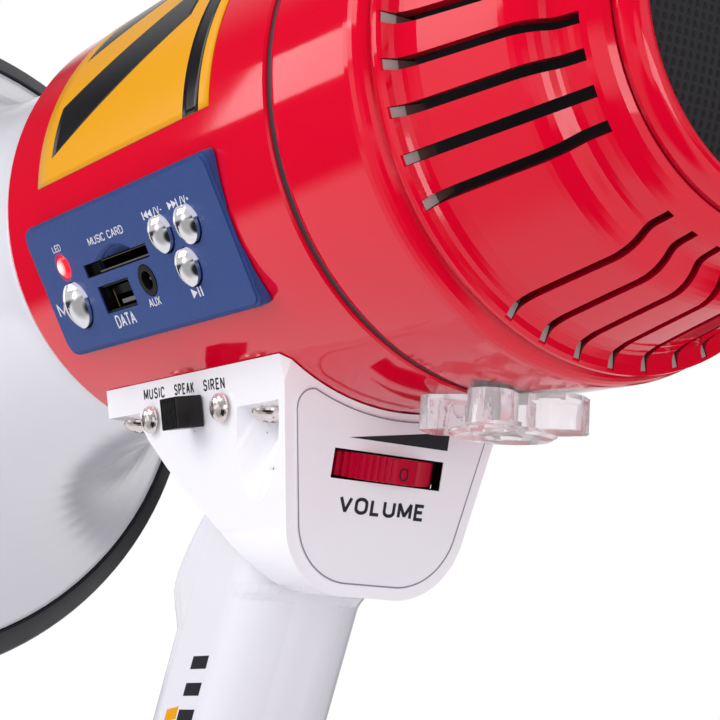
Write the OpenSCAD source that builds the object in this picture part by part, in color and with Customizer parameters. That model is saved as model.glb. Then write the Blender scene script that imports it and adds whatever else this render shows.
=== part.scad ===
// Handheld megaphone with a pistol grip, a music panel and a clear turn latch.
// Millimetres. +X points out of the horn, +Y to the panel side, +Z up.
// The shapes are written about the barrel axis, with x = 0 at the seam between
// the two red sections. In the row frame the origin is at the middle of the
// length, on the middle plane, level with the foot of the grip.

/* [Barrel] */

// Outside radius of the red barrel
barrel_r = 48; // [47.5:0.1:48.5]
// Wall of the red shells
barrel_wall = 2.6; // [2:0.1:3]
// Front end of the red barrel
barrel_front = 106.4; // [105:0.1:108]
// Width of the dark seam ring between the two red sections
seam_w = 1.4; // [1:0.1:2]

/* [Horn] */

// Outside radius of the bell where it leaves the barrel
neck_r = 44; // [42:0.5:45]
// Outside radius of the bell at its mouth
mouth_r = 106; // [104:0.5:108]
// Where the bell ends
mouth_x = 316; // [312:1:320]
// Wall of the bell
bell_wall = 2.4; // [2:0.1:3]
// How far the rubber rim stands out beyond the mouth of the bell
rim_r = 6; // [5:0.5:8]

/* [Rear cap] */

// Radius of the microphone mesh
mesh_r = 26.7; // [25:0.1:28]
// Width of the sound slots on the sides
slot_w = 1.7; // [1.2:0.1:2]
// Width of the sound slots above and below
base_slot_w = 1.3; // [1:0.1:1.6]
// How far the side slots are turned down from the middle of the side
slot_drop = 2.5; // [2:0.1:3]
// Angle from one slot to the next
slot_step = 8.7; // [8.5:0.1:8.8]

/* [Music panel] */

// Angle of the panel below the middle of the side
panel_angle = 29.6; // [27:0.2:32]
// Length of the panel along the barrel
panel_len = 75.6; // [74:0.2:77]
// Height of the panel
panel_h = 27.4; // [26.4:0.2:28]
// Middle of the panel along the barrel
panel_x = 54.6; // [54:0.2:55.4]
// How far its flat face stands out from the barrel
panel_d = 0.9; // [0.6:0.1:1.2]
// Diameter of the three small buttons
button_d = 6.8; // [6:0.1:7.2]
// Diameter of the mode button
mode_d = 9.2; // [8.4:0.1:9.6]
// How far a button can be pressed
button_travel = 0.8; // [0.5:0.1:1]

/* [Handle housing] */

// Half width of the housing where it meets the barrel
housing_half = 25.4; // [25:0.1:26]
// How much narrower each side gets per millimetre down
side_taper = 0.2; // [0.2:0.2]
// Lowest point of the housing, from the barrel axis
housing_low = 81.8; // [81:0.1:83]
// Radius of the two lower corners of the housing
housing_corner = 14; // [12:0.2:15]
// Wall of the housing
housing_wall = 2.4; // [2:0.1:2.6]
// Radius of the volume wheel
wheel_r = 15.5; // [15:0.1:15.8]
// Thickness of the volume wheel
wheel_t = 4.6; // [4:0.1:4.8]
// How far the switch knob stands out
knob_out = 6; // [5:0.1:7]
// Travel of the switch knob from one end to the other
knob_travel = 7.4; // [6:0.1:8]

/* [Grip] */

// Forward lean of the grip
grip_lean = 21.8; // [20:0.2:23]
// Depth of the grip, front to back
grip_depth = 35.2; // [34:0.2:37]
// Width of the grip
grip_w = 28; // [27:0.2:29]
// Corner radius of the grip
grip_round = 12; // [11:0.2:13]
// Foot of the grip below the barrel axis
foot_z = 172; // [165:1:180]
// Swing of the trigger when it is squeezed
trigger_swing = 5; // [3:0.5:5]

/* [Latch] */

// Length of the clear wing
latch_len = 28; // [27:0.5:30]
// Thickness of the wing
latch_w = 8.4; // [8:0.2:9]
// Length across the two round lobes
lobe_len = 22; // [20:0.5:24]
// Thickness of the lobes
lobe_w = 7.6; // [7:0.2:8]
// Radius of the round foot under the wings
flange_r = 9; // [8.6:0.1:9.4]
// Angle of the wing from the barrel axis
latch_angle = 33; // [25:1:40]

/* [Fits] */

// Gap round a pressed button or a knob stem
slide_gap = 0.3; // [0.2:0.05:0.4]
// Gap round a turning pin
pin_gap = 0.05; // [0.02:0.01:0.1]
// Gap between pieces that are seated on each other
seat_gap = 0.2; // [0.1:0.05:0.3]

/* [Hidden] */

$fn = 64;
eps = 0.01;

// limits of the whole object, used to place the origin
rear_end = -62.4;
front_end = mouth_x + 11.4;
rim_out = mouth_r + rim_r;
x_mid = (rear_end + front_end) / 2;

inner_r = barrel_r - barrel_wall;
driver_r = inner_r - 7.9;
panel_face = barrel_r + panel_d;
plate_back = panel_face - 4.3;
board_face = panel_face - 12.7;
jack_base = panel_face - 4.9;
side_angle = atan(side_taper);
side_top = 40.7;
rear_lean = 10;
rear_x = 28.6;
rear_z = -56;
under_lean = 34;
battery_r = 13;
cell_ring = 18.6;
cell_len = 50;
cell_start = -22.7;
tray_mid = cell_start + cell_len - 0.1;
second_row = tray_mid + 1.7;
tray_end = second_row + cell_len + 0.3;

// panel features: distance along the barrel, distance down from its middle line
card_at = [58.9, -1.6];
data_at = [63.3, 4.6];
jack_at = [50.0, 3.6];
prev_at = [38.7, -3.3];
next_at = [29.0, -3.3];
play_at = [34.0, 3.7];
mode_at = [79.7, 4.0];
lamp_at = [80.0, -4.0];
card_w = 26;
card_h = 2.6;
data_w = 12.9;
data_h = 5.5;

// pivot of the latch along the barrel
latch_x = -3.5;

// side switch, measured along the face and down it
switch_x = 62.8;
switch_down = 7.9;
screw_span = 28;
knob_len = 6.2;
knob_h = 6;

// saddle screws
saddle_rear = [38.5, 19.6];
saddle_front = [90.6, 19.6];

// trigger, in the frame of the grip
pivot_at = [grip_depth / 2 - 5.4, -24.5];
trigger_w = 13;
trigger_pin_half = 10.3;
trigger_low = -58;
grip_wall = 2.6;

// ---------------------------------------------------------------- helpers

module row_frame() {
  translate([-x_mid, 0, foot_z])
    children();
}

// A turned piece about the barrel axis; points are [radius, x].
module turned(points) {
  rotate([0, 90, 0])
    rotate_extrude($fn = 128)
      polygon(points);
}

module along_x(x0, x1, r) {
  translate([x0, 0, 0])
    rotate([0, 90, 0])
      cylinder(h = x1 - x0, r = r, $fn = 128);
}

// Plane of the music panel: x along the barrel, y down, z outwards from the axis.
module on_panel() {
  rotate([-(90 + panel_angle), 0, 0])
    children();
}

// Left face of the housing: x along the barrel, y down the face, z outwards.
module on_side() {
  translate([0, housing_half, -side_top])
    rotate([-(90 + side_angle), 0, 0])
      children();
}

// Rear face of the housing: x to the right seen from behind, y up, z outwards.
module on_rear() {
  translate([rear_x, 0, rear_z])
    rotate([0, -rear_lean, 0])
      rotate([90, 0, -90])
        children();
}

// Frame of the grip: z up along it, x forwards.
module on_grip() {
  translate([65.4, 0, -80])
    rotate([0, -grip_lean, 0])
      children();
}

module rounded(w, h, r) {
  square([w - 2 * r, h], center = true);
  square([w, h - 2 * r], center = true);
  for (sx = [-1, 1])
    for (sy = [-1, 1])
      translate([sx * (w / 2 - r), sy * (h / 2 - r)])
        circle(r = r);
}

module pin_y(x, z, r, half) {
  translate([x, half, z])
    rotate([90, 0, 0])
      cylinder(h = 2 * half, r = r);
}

// Domed head with a cross recess, head upwards, seated at z = 0.
module pan_screw(head_d, head_h, shank_d, shank_len) {
  band_h = head_h * 0.25;
  difference() {
    rotate_extrude()
      polygon(concat(
        [[0, 0]],
        [for (turn = [0:10:80]) [head_d / 2 * cos(turn), band_h + (head_h - band_h) * sin(turn)]],
        [[0, head_h]]
      ));
    for (turn = [0, 90])
      rotate([0, 0, turn])
        translate([-head_d * 0.2, -head_d * 0.05, head_h - head_h * 0.5])
          cube([head_d * 0.4, head_d * 0.1, head_h]);
  }
  translate([0, 0, -shank_len])
    cylinder(h = shank_len + eps, d = shank_d);
}

// ------------------------------------------------------------------- horn

function bell_out(x) = neck_r + (mouth_r - neck_r) * pow((x - barrel_front) / (mouth_x - barrel_front), 2.5);
rim_back = mouth_x - 6.4;
bell_steps = [for (i = [0:16]) barrel_front + (mouth_x - barrel_front) * i / 16];

module bell_shape() {
  turned(concat(
    [[inner_r - seat_gap, 96], [inner_r - seat_gap, barrel_front + seat_gap]],
    [[barrel_r - 1.2, barrel_front + seat_gap], [barrel_r - 1.4, barrel_front + 1.8]],
    [[neck_r + 0.6, barrel_front + 3.2]],
    [for (i = [1:16]) [bell_out(bell_steps[i]), bell_steps[i]]],
    [for (i = [0:15]) [bell_out(bell_steps[16 - i]) - bell_wall, bell_steps[16 - i] + bell_wall * 0.35]],
    [[neck_r - bell_wall, barrel_front + 3.2], [inner_r - 3.8, barrel_front], [inner_r - 3.8, 99]],
    [[driver_r, 99], [driver_r, 96]]
  ));
}

module horn_bell() {
  color("white")
    bell_shape();
}

module horn_rim() {
  color("#1c1c20")
    difference() {
      turned([
        [bell_out(rim_back) - 0.4, rim_back], [bell_out(rim_back) + 1.3, rim_back - 0.2],
        [rim_out - 4.8, mouth_x - 0.8], [rim_out - 1.4, mouth_x + 2.6], [rim_out - 0.3, mouth_x + 4.8],
        [rim_out, mouth_x + 7], [rim_out - 0.6, mouth_x + 9.4], [rim_out - 2.2, mouth_x + 10.9],
        [rim_out - 4.4, front_end], [mouth_r - 0.4, front_end], [mouth_r - 2.4, front_end - 1],
        [mouth_r - 3.8, front_end - 2.8], [mouth_r - 4.6, front_end - 6], [mouth_r - 5.8, front_end - 8.8],
        [bell_out(rim_back) - bell_wall - 1.2, rim_back + 2.2],
        [bell_out(rim_back) - bell_wall + 0.4, rim_back + 1.8]
      ]);
      bell_shape();
    }
}

throat_seat = neck_r - bell_wall - 4.4;

module throat_tube() {
  color("#3a3b40")
    turned([
      [14, 112], [throat_seat, 112], [throat_seat, 115.5], [20, 115.5], [15.5, 120], [14.8, 150],
      [15.6, 200], [17.6, 238], [15.6, 238], [13.6, 200], [12.4, 150], [12.4, 118]
    ]);
}

module sound_reflector() {
  color("white")
    union() {
      turned([
        [0, 268], [0, 285], [10, 284.4], [22, 281.6], [33, 276], [41, 267], [45.6, 255],
        [46.6, 244], [46.4, 226], [43.8, 226], [44, 244], [42.6, 254], [38.4, 264],
        [31, 271.4], [20, 274], [12, 272], [5, 265]
      ]);
      for (turn = [0, 120, 240])
        rotate([turn, 0, 0])
          difference() {
            translate([222, -1.1, 10])
              cube([30, 2.2, 35]);
            along_x(200, 260, 17.9);
          }
    }
}

module driver_magnet() {
  color("#6d7078")
    union() {
      along_x(84, 88, driver_r - 3.5);
      along_x(88, 99, driver_r - 1.5);
      along_x(99, 103, driver_r - 3.5);
      along_x(82, 84 + eps, 8);
    }
}

module driver_dome() {
  color("#c9a25c")
    turned([
      [0, 106.6], [6, 106.2], [12, 104.6], [15.5, 103.3], [19, 104.4], [26, 104.0], [driver_r - 2.9, 104.0],
      [driver_r - 2.9, 111.6], [driver_r - 6.5, 111.6], [driver_r - 6.5, 105.0],
      [19.4, 105.2], [15.8, 104.3], [12.2, 105.6], [6, 107.4], [0, 107.8]
    ]);
}

// ----------------------------------------------------------------- barrel

module panel_window(gap) {
  on_panel()
    translate([panel_x, 0, barrel_r - 18])
      linear_extrude(height = 30)
        square([panel_len - 5 + 2 * gap, panel_h - 4 + 2 * gap], center = true);
}

module front_shell() {
  color("#c8001f")
    difference() {
      turned([
        [inner_r, seam_w / 2], [barrel_r - 0.4, seam_w / 2], [barrel_r, seam_w / 2 + 0.3],
        [barrel_r + 0.2, barrel_front - 2.6], [barrel_r - 0.2, barrel_front - 1.2],
        [barrel_r - 1.1, barrel_front], [inner_r, barrel_front]
      ]);
      panel_window(0.1);
      for (side = [-1, 1])
        for (at = [saddle_rear, saddle_front])
          translate([at[0], side * at[1], -60])
            cylinder(h = 30, r = 1.7);
      translate([60, 0, -52])
        cylinder(h = 12, r = 9);
    }
}

module seam_ring() {
  color("#33343a")
    turned([
      [inner_r - 1.6, -seam_w / 2 - 1.1], [inner_r - 0.1, -seam_w / 2 - 1.1], [inner_r - 0.1, -seam_w / 2],
      [barrel_r - 0.7, -seam_w / 2], [barrel_r - 0.7, seam_w / 2], [inner_r - 0.1, seam_w / 2],
      [inner_r - 0.1, seam_w / 2 + 1.1], [inner_r - 1.6, seam_w / 2 + 1.1]
    ]);
}

side_turns = [for (i = [-4:4]) i * slot_step - slot_drop];
base_turns = [for (i = [-3:3]) i * slot_step];

module slot_cutter(turn, wide) {
  rotate([turn, 0, 0])
    translate([-55.4, mesh_r + 1.3, -wide / 2])
      cube([26.9, barrel_r - mesh_r + 0.7, wide]);
}

// Radius of the slotted cone, from its small end at 0 to its large end at 1.
cone_small = mesh_r + 0.582 * (barrel_r - mesh_r);
function cone_r(share) = cone_small + share * (barrel_r - 4.7 - cone_small);

// Points of a curve from a to d that leaves towards b and arrives from c, without a itself.
function curve(a, b, c, d, steps) = [
  for (i = [1:steps])
    let (t = i / steps, u = 1 - t)
      u * u * u * a + 3 * u * u * t * b + 3 * u * t * t * c + t * t * t * d
];

module rear_shell() {
  shoulder = cone_r(0);
  color("#c8001f")
    difference() {
      turned(concat(
        [[inner_r, -seam_w / 2], [barrel_r - 0.9, -seam_w / 2], [barrel_r - 0.3, -seam_w / 2 - 0.5]],
        [[barrel_r, -seam_w / 2 - 1.5], [barrel_r, -21.6]],
        curve([barrel_r, -21.6], [barrel_r, -23.4], [barrel_r - 0.7, -24.5], [barrel_r - 1.7, -25.3], 5),
        [[barrel_r - 2.1, -25.6], [barrel_r - 2.1, -26.8], [barrel_r - 1.5, -27.1]],
        [[barrel_r - 1.1, -27.7], [barrel_r - 1.2, -28.3], [barrel_r - 1.8, -28.8]],
        curve([barrel_r - 1.8, -28.8], [barrel_r - 4.4, -28.9],
          [barrel_r - 4.4, -30], [cone_r(0.85), -32.4], 6),
        [[cone_r(0.5), -38.4], [shoulder + 0.25, -46.2]],
        curve([shoulder + 0.25, -46.2], [shoulder - 0.2, -48.6],
          [shoulder - 1.5, -50.6], [mesh_r + 8.5, -51.4], 7),
        curve([mesh_r + 8.5, -51.4], [mesh_r + 7.5, -51.8], [mesh_r + 7.2, -53], [mesh_r + 6.8, -54.4], 5),
        curve([mesh_r + 6.8, -54.4], [mesh_r + 6.4, -55.8], [mesh_r + 5.2, -57.4], [mesh_r + 3.5, -58.4], 5),
        [[mesh_r + 0.5, -58.4], [mesh_r + 0.5, -56.6], [mesh_r + 2.6, -56.4], [mesh_r + 4.5, -53.2]],
        [[mesh_r + 5.3, -50.8], [shoulder - 3.9, -48.9], [shoulder - 1.8, -47.4], [cone_r(0.5) - 1.8, -38.4]],
        [[barrel_r - 6.5, -29.3], [inner_r - 1.8, -26.4], [inner_r, -20]]
      ));
      for (turn = side_turns) {
        slot_cutter(turn, slot_w);
        slot_cutter(180 - turn, slot_w);
      }
      for (quarter = [90, 270])
        for (turn = base_turns)
          slot_cutter(quarter + turn, base_slot_w);
      translate([latch_x, 0, -barrel_r - 4])
        cylinder(h = 12, r = 1.6);
    }
}

module lip_ring() {
  color("#c8001f")
    turned([
      [mesh_r + 0.2, -58.6], [mesh_r + 3.3, -58.6], [mesh_r + 3.2, -59.6], [mesh_r + 2.8, -60.9],
      [mesh_r + 2.0, -61.9], [mesh_r + 1.0, -62.4], [mesh_r + 0.1, -62.3], [mesh_r - 0.5, -61.6],
      [mesh_r - 0.5, -60.6]
    ]);
}

module mic_mesh() {
  color("#17171a")
    turned([
      [0, -61.6], [12, -61.4], [20, -60.8], [mesh_r - 0.7, -59.8], [mesh_r - 0.7, -58.4],
      [mesh_r + 0.2, -58.4], [mesh_r + 0.2, -57.6], [mesh_r - 1.7, -57.6], [19.8, -59.6], [12, -60.3],
      [0, -60.5]
    ]);
}

module mic_foam() {
  color("#2b2b2e")
    difference() {
      turned([
        [0, -60.2], [12, -60.0], [19.6, -59.3], [mesh_r - 2.1, -57.3], [mesh_r - 2.1, -54.0], [0, -54.0]
      ]);
      along_x(-57.5, -50, 5.2);
    }
}

module mic_capsule() {
  color("#9a9da3")
    union() {
      along_x(-57.2, -50.5, 5.0);
      along_x(-53.8, -52.4, mesh_r + 1.7);
    }
}

// ---------------------------------------------------------------- battery

cell_turns = [45, 135, 225, 315];

module cell_places() {
  for (turn = cell_turns)
    rotate([turn, 0, 0])
      translate([0, cell_ring, 0])
        children();
}

module battery_tray() {
  color("#4b4d53")
    difference() {
      union() {
        along_x(-25.6, -23.4, inner_r - 7.4);
        along_x(tray_mid, tray_mid + 1.6, 33.4);
        along_x(tray_end, tray_end + 2.2, 33.4);
        along_x(-23.6, tray_end + 0.2, 4.2);
        for (turn = [0, 90, 180, 270])
          rotate([turn, 0, 0])
            translate([-23.6, 2, -1])
              cube([tray_end + 23.8, 21, 2]);
      }
      translate([-30, -40, -50])
        cube([8, 80, 15.4]);
      cell_places()
        along_x(cell_start - 0.1, tray_mid + 0.6 - eps, battery_r + 0.3);
      cell_places()
        along_x(second_row - 0.2, tray_end + 0.1, battery_r + 0.3);
    }
}

module battery_cells() {
  color("#3f6f9f")
    cell_places()
      for (x0 = [cell_start, second_row])
        union() {
          along_x(x0, x0 + cell_len - 2, battery_r);
          along_x(x0 + cell_len - 2 - eps, x0 + cell_len, 3.2);
        }
}

module battery_contacts() {
  color("#b9bcc2")
    cell_places() {
      along_x(cell_start - 0.6, cell_start - 0.1, 5);
      along_x(tray_mid + 0.15, tray_mid + 0.5 - eps, 4.4 + eps);
      along_x(tray_end - 0.25, tray_end - 0.05, 4.4);
    }
}

amp_z = inner_r - 11.4;
amp_t = 1.6;

module amp_board() {
  color("#1f6b3a")
    translate([4, -25, amp_z])
      cube([72, 50, amp_t]);
}

module amp_parts() {
  color("#55585f")
    union() {
      translate([5, -12, amp_z - 4.8])
        cube([21, 24, 4.8]);
      for (at = [[38, -16], [38, 4], [52, -6]])
        translate([at[0], at[1], amp_z - 4])
          cylinder(h = 4, d = 9);
      translate([34, -10, amp_z + amp_t])
        cube([34, 20, 4.2]);
      translate([62, 8, amp_z - 4.4])
        cube([10, 12, 4.4]);
    }
}

// ------------------------------------------------------------ music panel

module panel_slab(w, h, z0, z1) {
  translate([panel_x, 0, z0])
    linear_extrude(height = z1 - z0) {
      rounded(w, h, 3.2);
      // the two corners beside the seam are sharper
      for (side = [-1, 1])
        translate([3 - w / 2, side * (h / 2 - 3)])
          rounded(6, 6, 1.5);
    }
}

module panel_plate() {
  color("#28427c")
    difference() {
      union() {
        difference() {
          on_panel()
            union() {
              panel_slab(panel_len, panel_h, panel_face - 6.9, panel_face - 0.8);
              panel_slab(panel_len - 0.5, panel_h - 0.5, panel_face - 0.8 - eps, panel_face - 0.3);
              panel_slab(panel_len - 1.5, panel_h - 1.5, panel_face - 0.3 - eps, panel_face);
            }
          along_x(0, 110, barrel_r + 0.25);
        }
        on_panel()
          translate([panel_x, 0, plate_back])
            linear_extrude(height = panel_face - 1 - plate_back)
              square([panel_len - 5, panel_h - 4], center = true);
      }
      on_panel() {
        for (at = [prev_at, next_at, play_at])
          translate([at[0], at[1], plate_back - 4.6])
            cylinder(h = 12, d = button_d + 2 * slide_gap);
        translate([mode_at[0], mode_at[1], plate_back - 4.6])
          cylinder(h = 12, d = mode_d + 2 * slide_gap);
        translate([lamp_at[0], lamp_at[1], plate_back - 4.6])
          cylinder(h = 12, d = 5.2);
        translate([jack_at[0], jack_at[1], plate_back - 4.6])
          cylinder(h = 12, d = 6.2);
        translate([card_at[0] - card_w / 2, card_at[1] - card_h / 2, plate_back - 4.6])
          cube([card_w, card_h, 12]);
        translate([data_at[0] - data_w / 2, data_at[1] - data_h / 2, plate_back - 4.6])
          cube([data_w, data_h, 12]);
        intersection() {
          translate([card_at[0], card_at[1] + 10.9, panel_face + 10.9])
            sphere(r = 18);
          translate([card_at[0] - 12, card_at[1] - 12, plate_back - 4.6])
            cube([24, 12, 12]);
        }
      }
    }
}

module panel_board() {
  color("#1f6b3a")
    on_panel()
      translate([panel_x - 36.4, -11.6, board_face - 1.6])
        cube([67, 23.2, 1.6]);
}

module data_socket() {
  color("#b9bcc2")
    on_panel()
      translate([data_at[0], data_at[1], 0])
        union() {
          difference() {
            translate([-data_w / 2 + 0.1, -data_h / 2 + 0.1, board_face])
              cube([data_w - 0.2, data_h - 0.2, 12.2]);
            translate([-data_w / 2 + 0.45, -data_h / 2 + 0.45, board_face + 1.8])
              cube([data_w - 0.9, data_h - 0.9, 12]);
          }
          translate([-data_w / 2 + 1.2, -data_h / 2 + 0.95, board_face + 0.8])
            cube([data_w - 2.4, 1.7, 9.6]);
        }
}

module card_socket() {
  color("#9a9da3")
    on_panel()
      translate([card_at[0], card_at[1], 0])
        difference() {
          translate([-card_w / 2 - 1, -card_h / 2 - 0.5, board_face])
            cube([card_w + 2, card_h + 0.9, 8.2]);
          translate([-card_w / 2 + 0.4, -card_h / 2 + 0.2, board_face + 1.2])
            cube([card_w - 0.8, card_h - 0.4, 12]);
        }
}

module aux_jack() {
  color("#202126")
    on_panel()
      translate([jack_at[0], jack_at[1], 0])
        difference() {
          union() {
            translate([-4.4, -3.3, board_face])
              cube([8.8, 7.4, 8.2]);
            translate([0, 0, jack_base])
              cylinder(h = panel_face - jack_base + 0.1, d = 5.9);
          }
          translate([0, 0, board_face + 1.4])
            cylinder(h = 14, d = 3.6);
        }
}

module status_lamp() {
  color("#ff3030")
    on_panel()
      translate([lamp_at[0], lamp_at[1], 0])
        union() {
          translate([0, 0, board_face])
            cylinder(h = panel_face - board_face - 0.6, d = 4.9);
          intersection() {
            translate([0, 0, panel_face - 2.2])
              sphere(r = 3.1);
            translate([0, 0, plate_back - 0.6])
              cylinder(h = 10, d = 4.9);
          }
        }
}

tact_h = 3.9;
button_rise = 0.8;
button_low = board_face + tact_h + button_travel + 0.3;

module tact_switches() {
  color("#3c3d42")
    on_panel()
      for (at = [prev_at, next_at, play_at, mode_at])
        translate([at[0], at[1], board_face])
          union() {
            translate([-2.9, -2.9, 0])
              cube([5.8, 5.8, 3.2]);
            cylinder(h = tact_h, d = 3);
          }
}

// Domed button with its collar behind the plate.
module push_button(at, d, dome) {
  on_panel()
    translate([at[0], at[1], 0])
      union() {
        translate([0, 0, button_low])
          cylinder(h = panel_face + button_rise - button_low, d = d);
        intersection() {
          translate([0, 0, panel_face + button_rise + dome - (d * d / 4 + dome * dome) / (2 * dome)])
            sphere(r = (d * d / 4 + dome * dome) / (2 * dome));
          translate([0, 0, panel_face + button_rise - eps])
            cylinder(h = dome + 1, d = d);
        }
      }
}

module button_previous() {
  color("#d9dbe0")
    push_button(prev_at, button_d, 1.3);
}

module button_next() {
  color("#d9dbe0")
    push_button(next_at, button_d, 1.3);
}

module button_play() {
  color("#d9dbe0")
    push_button(play_at, button_d, 1.3);
}

module button_mode() {
  color("#d9dbe0")
    push_button(mode_at, mode_d, 1.6);
}

// --------------------------------------------------------- handle housing

// Outline seen from the side, made smaller all round by inset.
module housing_side(inset) {
  translate([0, 60, 0])
    rotate([90, 0, 0])
      linear_extrude(height = 120)
        polygon([
          [rear_x - 3.2 + inset, -38], [rear_x + inset, rear_z],
          [rear_x + 4.58 + inset, -housing_low + inset],
          [43.0 - inset * 0.3, -housing_low + inset + 0.4], [46.6 - inset * 0.5, -77.2 + inset],
          [53.8 - inset * 0.6, -71.4 + inset * 0.8], [65.0 - inset * 0.6, -64.0 + inset * 0.8],
          [72.8 - inset * 0.7, -58.4 + inset * 0.75], [79.8 - inset * 0.9, -52.4 + inset * 0.6],
          [82.0 - inset, -49.8 + inset * 0.3], [82.4 - inset, -46.8], [82.4 - inset, -38]
        ]);
}

// Shield outline seen from behind, made smaller all round by inset.
module housing_front(inset) {
  low = -housing_low + inset;
  corner = housing_corner - inset * 0.8;
  lean = 1 / cos(side_angle);
  half = housing_half + side_taper * side_top - inset * lean;
  corner_z = low + corner;
  corner_y = half + side_taper * corner_z - corner * lean;
  touch_y = corner_y + corner * cos(side_angle);
  touch_z = corner_z - corner * sin(side_angle);
  rotate([90, 0, 90])
    linear_extrude(height = 120)
      union() {
        polygon([
          [-half + side_taper * 36, -36], [-touch_y, touch_z], [-corner_y, corner_z], [-corner_y, low],
          [corner_y, low], [corner_y, corner_z], [touch_y, touch_z], [half - side_taper * 36, -36]
        ]);
        for (side = [-1, 1])
          translate([side * corner_y, corner_z])
            circle(r = corner);
      }
}

module housing_solid(inset) {
  intersection() {
    housing_side(inset);
    housing_front(inset);
  }
}

// Sloping well that lets a driver reach a rear saddle screw.
module screw_well(side) {
  mirror([0, side < 0 ? 1 : 0, 0])
    difference() {
      translate([36.4, 21.6, -48.8])
        rotate([20, -15, 0])
          translate([0, 0, -30])
            cylinder(h = 40, r = 7.2);
      translate([0, -10, -48.8])
        cube([80, 60, 30]);
    }
}

module flange() {
  intersection() {
    translate([78, -30, -46.8])
      cube([18.6, 60, 10]);
    housing_front(0);
  }
}

// Takes the sharp edge off an upright rear corner.
module corner_cut(side) {
  depth = 1.4;
  mirror([0, side < 0 ? 1 : 0, 0])
    translate([rear_x - 2.66, housing_half, -side_top])
      rotate([side_angle, -rear_lean, 0])
        rotate([0, 0, 45])
          translate([-10, -depth, -60])
            cube([20, 10, 70]);
}

module handle_housing() {
  color("white")
    difference() {
      union() {
        difference() {
          union() {
            housing_solid(0);
            flange();
          }
          difference() {
            housing_solid(housing_wall);
            for (side = [-1, 1])
              mirror([0, side < 0 ? 1 : 0, 0])
                difference() {
                  translate([36.4, 21.6, -46.2])
                    rotate([20, -15, 0])
                      translate([0, 0, -30])
                        cylinder(h = 40, r = 8.4);
                  translate([0, -10, -46.2])
                    cube([80, 60, 30]);
                }
            for (side = [-1, 1])
              translate([saddle_rear[0], side * saddle_rear[1], -50])
                cylinder(h = 10, r = 4.6);
          }
          screw_well(1);
          screw_well(-1);
        }
      }
      along_x(0, 110, barrel_r + 0.25);
      for (side = [-1, 1]) {
        for (at = [saddle_rear, saddle_front])
          translate([at[0], side * at[1], -60])
            cylinder(h = 30, r = 2.2);
        corner_cut(side);
      }
      // window for the volume wheel
      on_rear()
        translate([-12.1, -5.3, -6])
          cube([24.2, 5.4, 12]);
      // slot for the switch stem and its screws
      on_side() {
        translate([switch_x - knob_travel / 2 - 2, switch_down - 1.5, -6])
          cube([knob_travel + 4, 3, 12]);
        for (side = [-1, 1])
          translate([switch_x + side * screw_span / 2, switch_down, -6])
            cylinder(h = 12, r = 1.6);
      }
      // way for the wires from the grip
      on_grip()
        translate([0, 0, -12])
          cylinder(h = 30, r = 6);
    }
}

module saddle_screws() {
  color("#c9c4bc")
    for (side = [-1, 1]) {
      translate([saddle_rear[0], side * saddle_rear[1], -48.8 - 0.05])
        mirror([0, 0, 1])
          pan_screw(7.6, 2.8, 3.2, 9);
      translate([saddle_front[0], side * saddle_front[1], -46.8 - 0.05])
        mirror([0, 0, 1])
          pan_screw(7.6, 2.8, 3.2, 7);
    }
}

label_inset = 2.2;
label_corner_r = 3.2;

// Rounds the upper corner on one side of the label.
module label_corner(side) {
  on_rear()
    translate([0, 0, -1])
      linear_extrude(height = 3)
        difference() {
          polygon([[side * 18.1, 6.75], [side * 22.2, 6.03], [side * 24, 14], [side * 16.5, 11.3]]);
          translate([side * 18.1, 6.75])
            circle(r = label_corner_r);
        }
}

module volume_label() {
  color("#dcdae0")
    difference() {
      intersection() {
        housing_front(label_inset);
        on_rear()
          translate([-40, -40, 0.03])
            cube([80, 80, 0.3]);
      }
      along_x(0, 110, barrel_r + 1.6);
      on_rear()
        translate([-12.1, -5.3, -6])
          cube([24.2, 5.4, 12]);
      label_corner(-1);
      label_corner(1);
    }
}

wheel_teeth = 76;
wheel_back = wheel_r - 3;
// smooth patch that carries the digit: where its middle is, and half its width
patch_turn = 82.5;
patch_half = 9.4;

module volume_wheel() {
  color("#b3122a")
    on_rear()
      translate([0, -2.6, -wheel_back])
        rotate([-90, 0, 0])
          translate([0, 0, -wheel_t / 2])
            difference() {
              linear_extrude(height = wheel_t)
                polygon([for (i = [0:2 * wheel_teeth - 1])
                  let (turn = i * 180 / wheel_teeth,
                       r = (i % 2 == 0 || abs(turn - patch_turn) < patch_half) ? wheel_r : wheel_r - 0.55)
                    [r * cos(turn), r * sin(turn) * -1]]);
              translate([0, 0, -1])
                cylinder(h = wheel_t + 2, r = 3 + pin_gap);
            }
}

module volume_control() {
  color("#2d2e33")
    on_rear()
      translate([0, -2.6, -wheel_back])
        rotate([-90, 0, 0])
          union() {
            translate([0, 0, -wheel_t / 2 - 1])
              cylinder(h = wheel_t + 2, r = 3);
            translate([-6.5, -6.5, wheel_t / 2 + 0.4])
              cube([13, 13, 3.8]);
            translate([-3.4, -3.4, -wheel_t / 2 - 1.4])
              cube([6.8, 6.8, 1]);
          }
}

module switch_body() {
  plate_len = screw_span + 3.4;
  color("#2d2e33")
    difference() {
      on_side()
        difference() {
          union() {
            translate([switch_x - plate_len / 2, switch_down - 2, -housing_wall - 1.4])
              cube([plate_len, 4, 1.2]);
            translate([switch_x - 10.4, switch_down - 3.6, -housing_wall - 8])
              cube([20.8, 7.2, 6.8]);
          }
          translate([switch_x - knob_travel / 2 - 2.4, switch_down - 1.9, -housing_wall - 5])
            cube([knob_travel + 4.8, 3.8, 6]);
          for (side = [-1, 1])
            translate([switch_x + side * screw_span / 2, switch_down, -20])
              cylinder(h = 30, r = 1.3);
        }
      along_x(0, 110, barrel_r + 0.35);
    }
}

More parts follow.
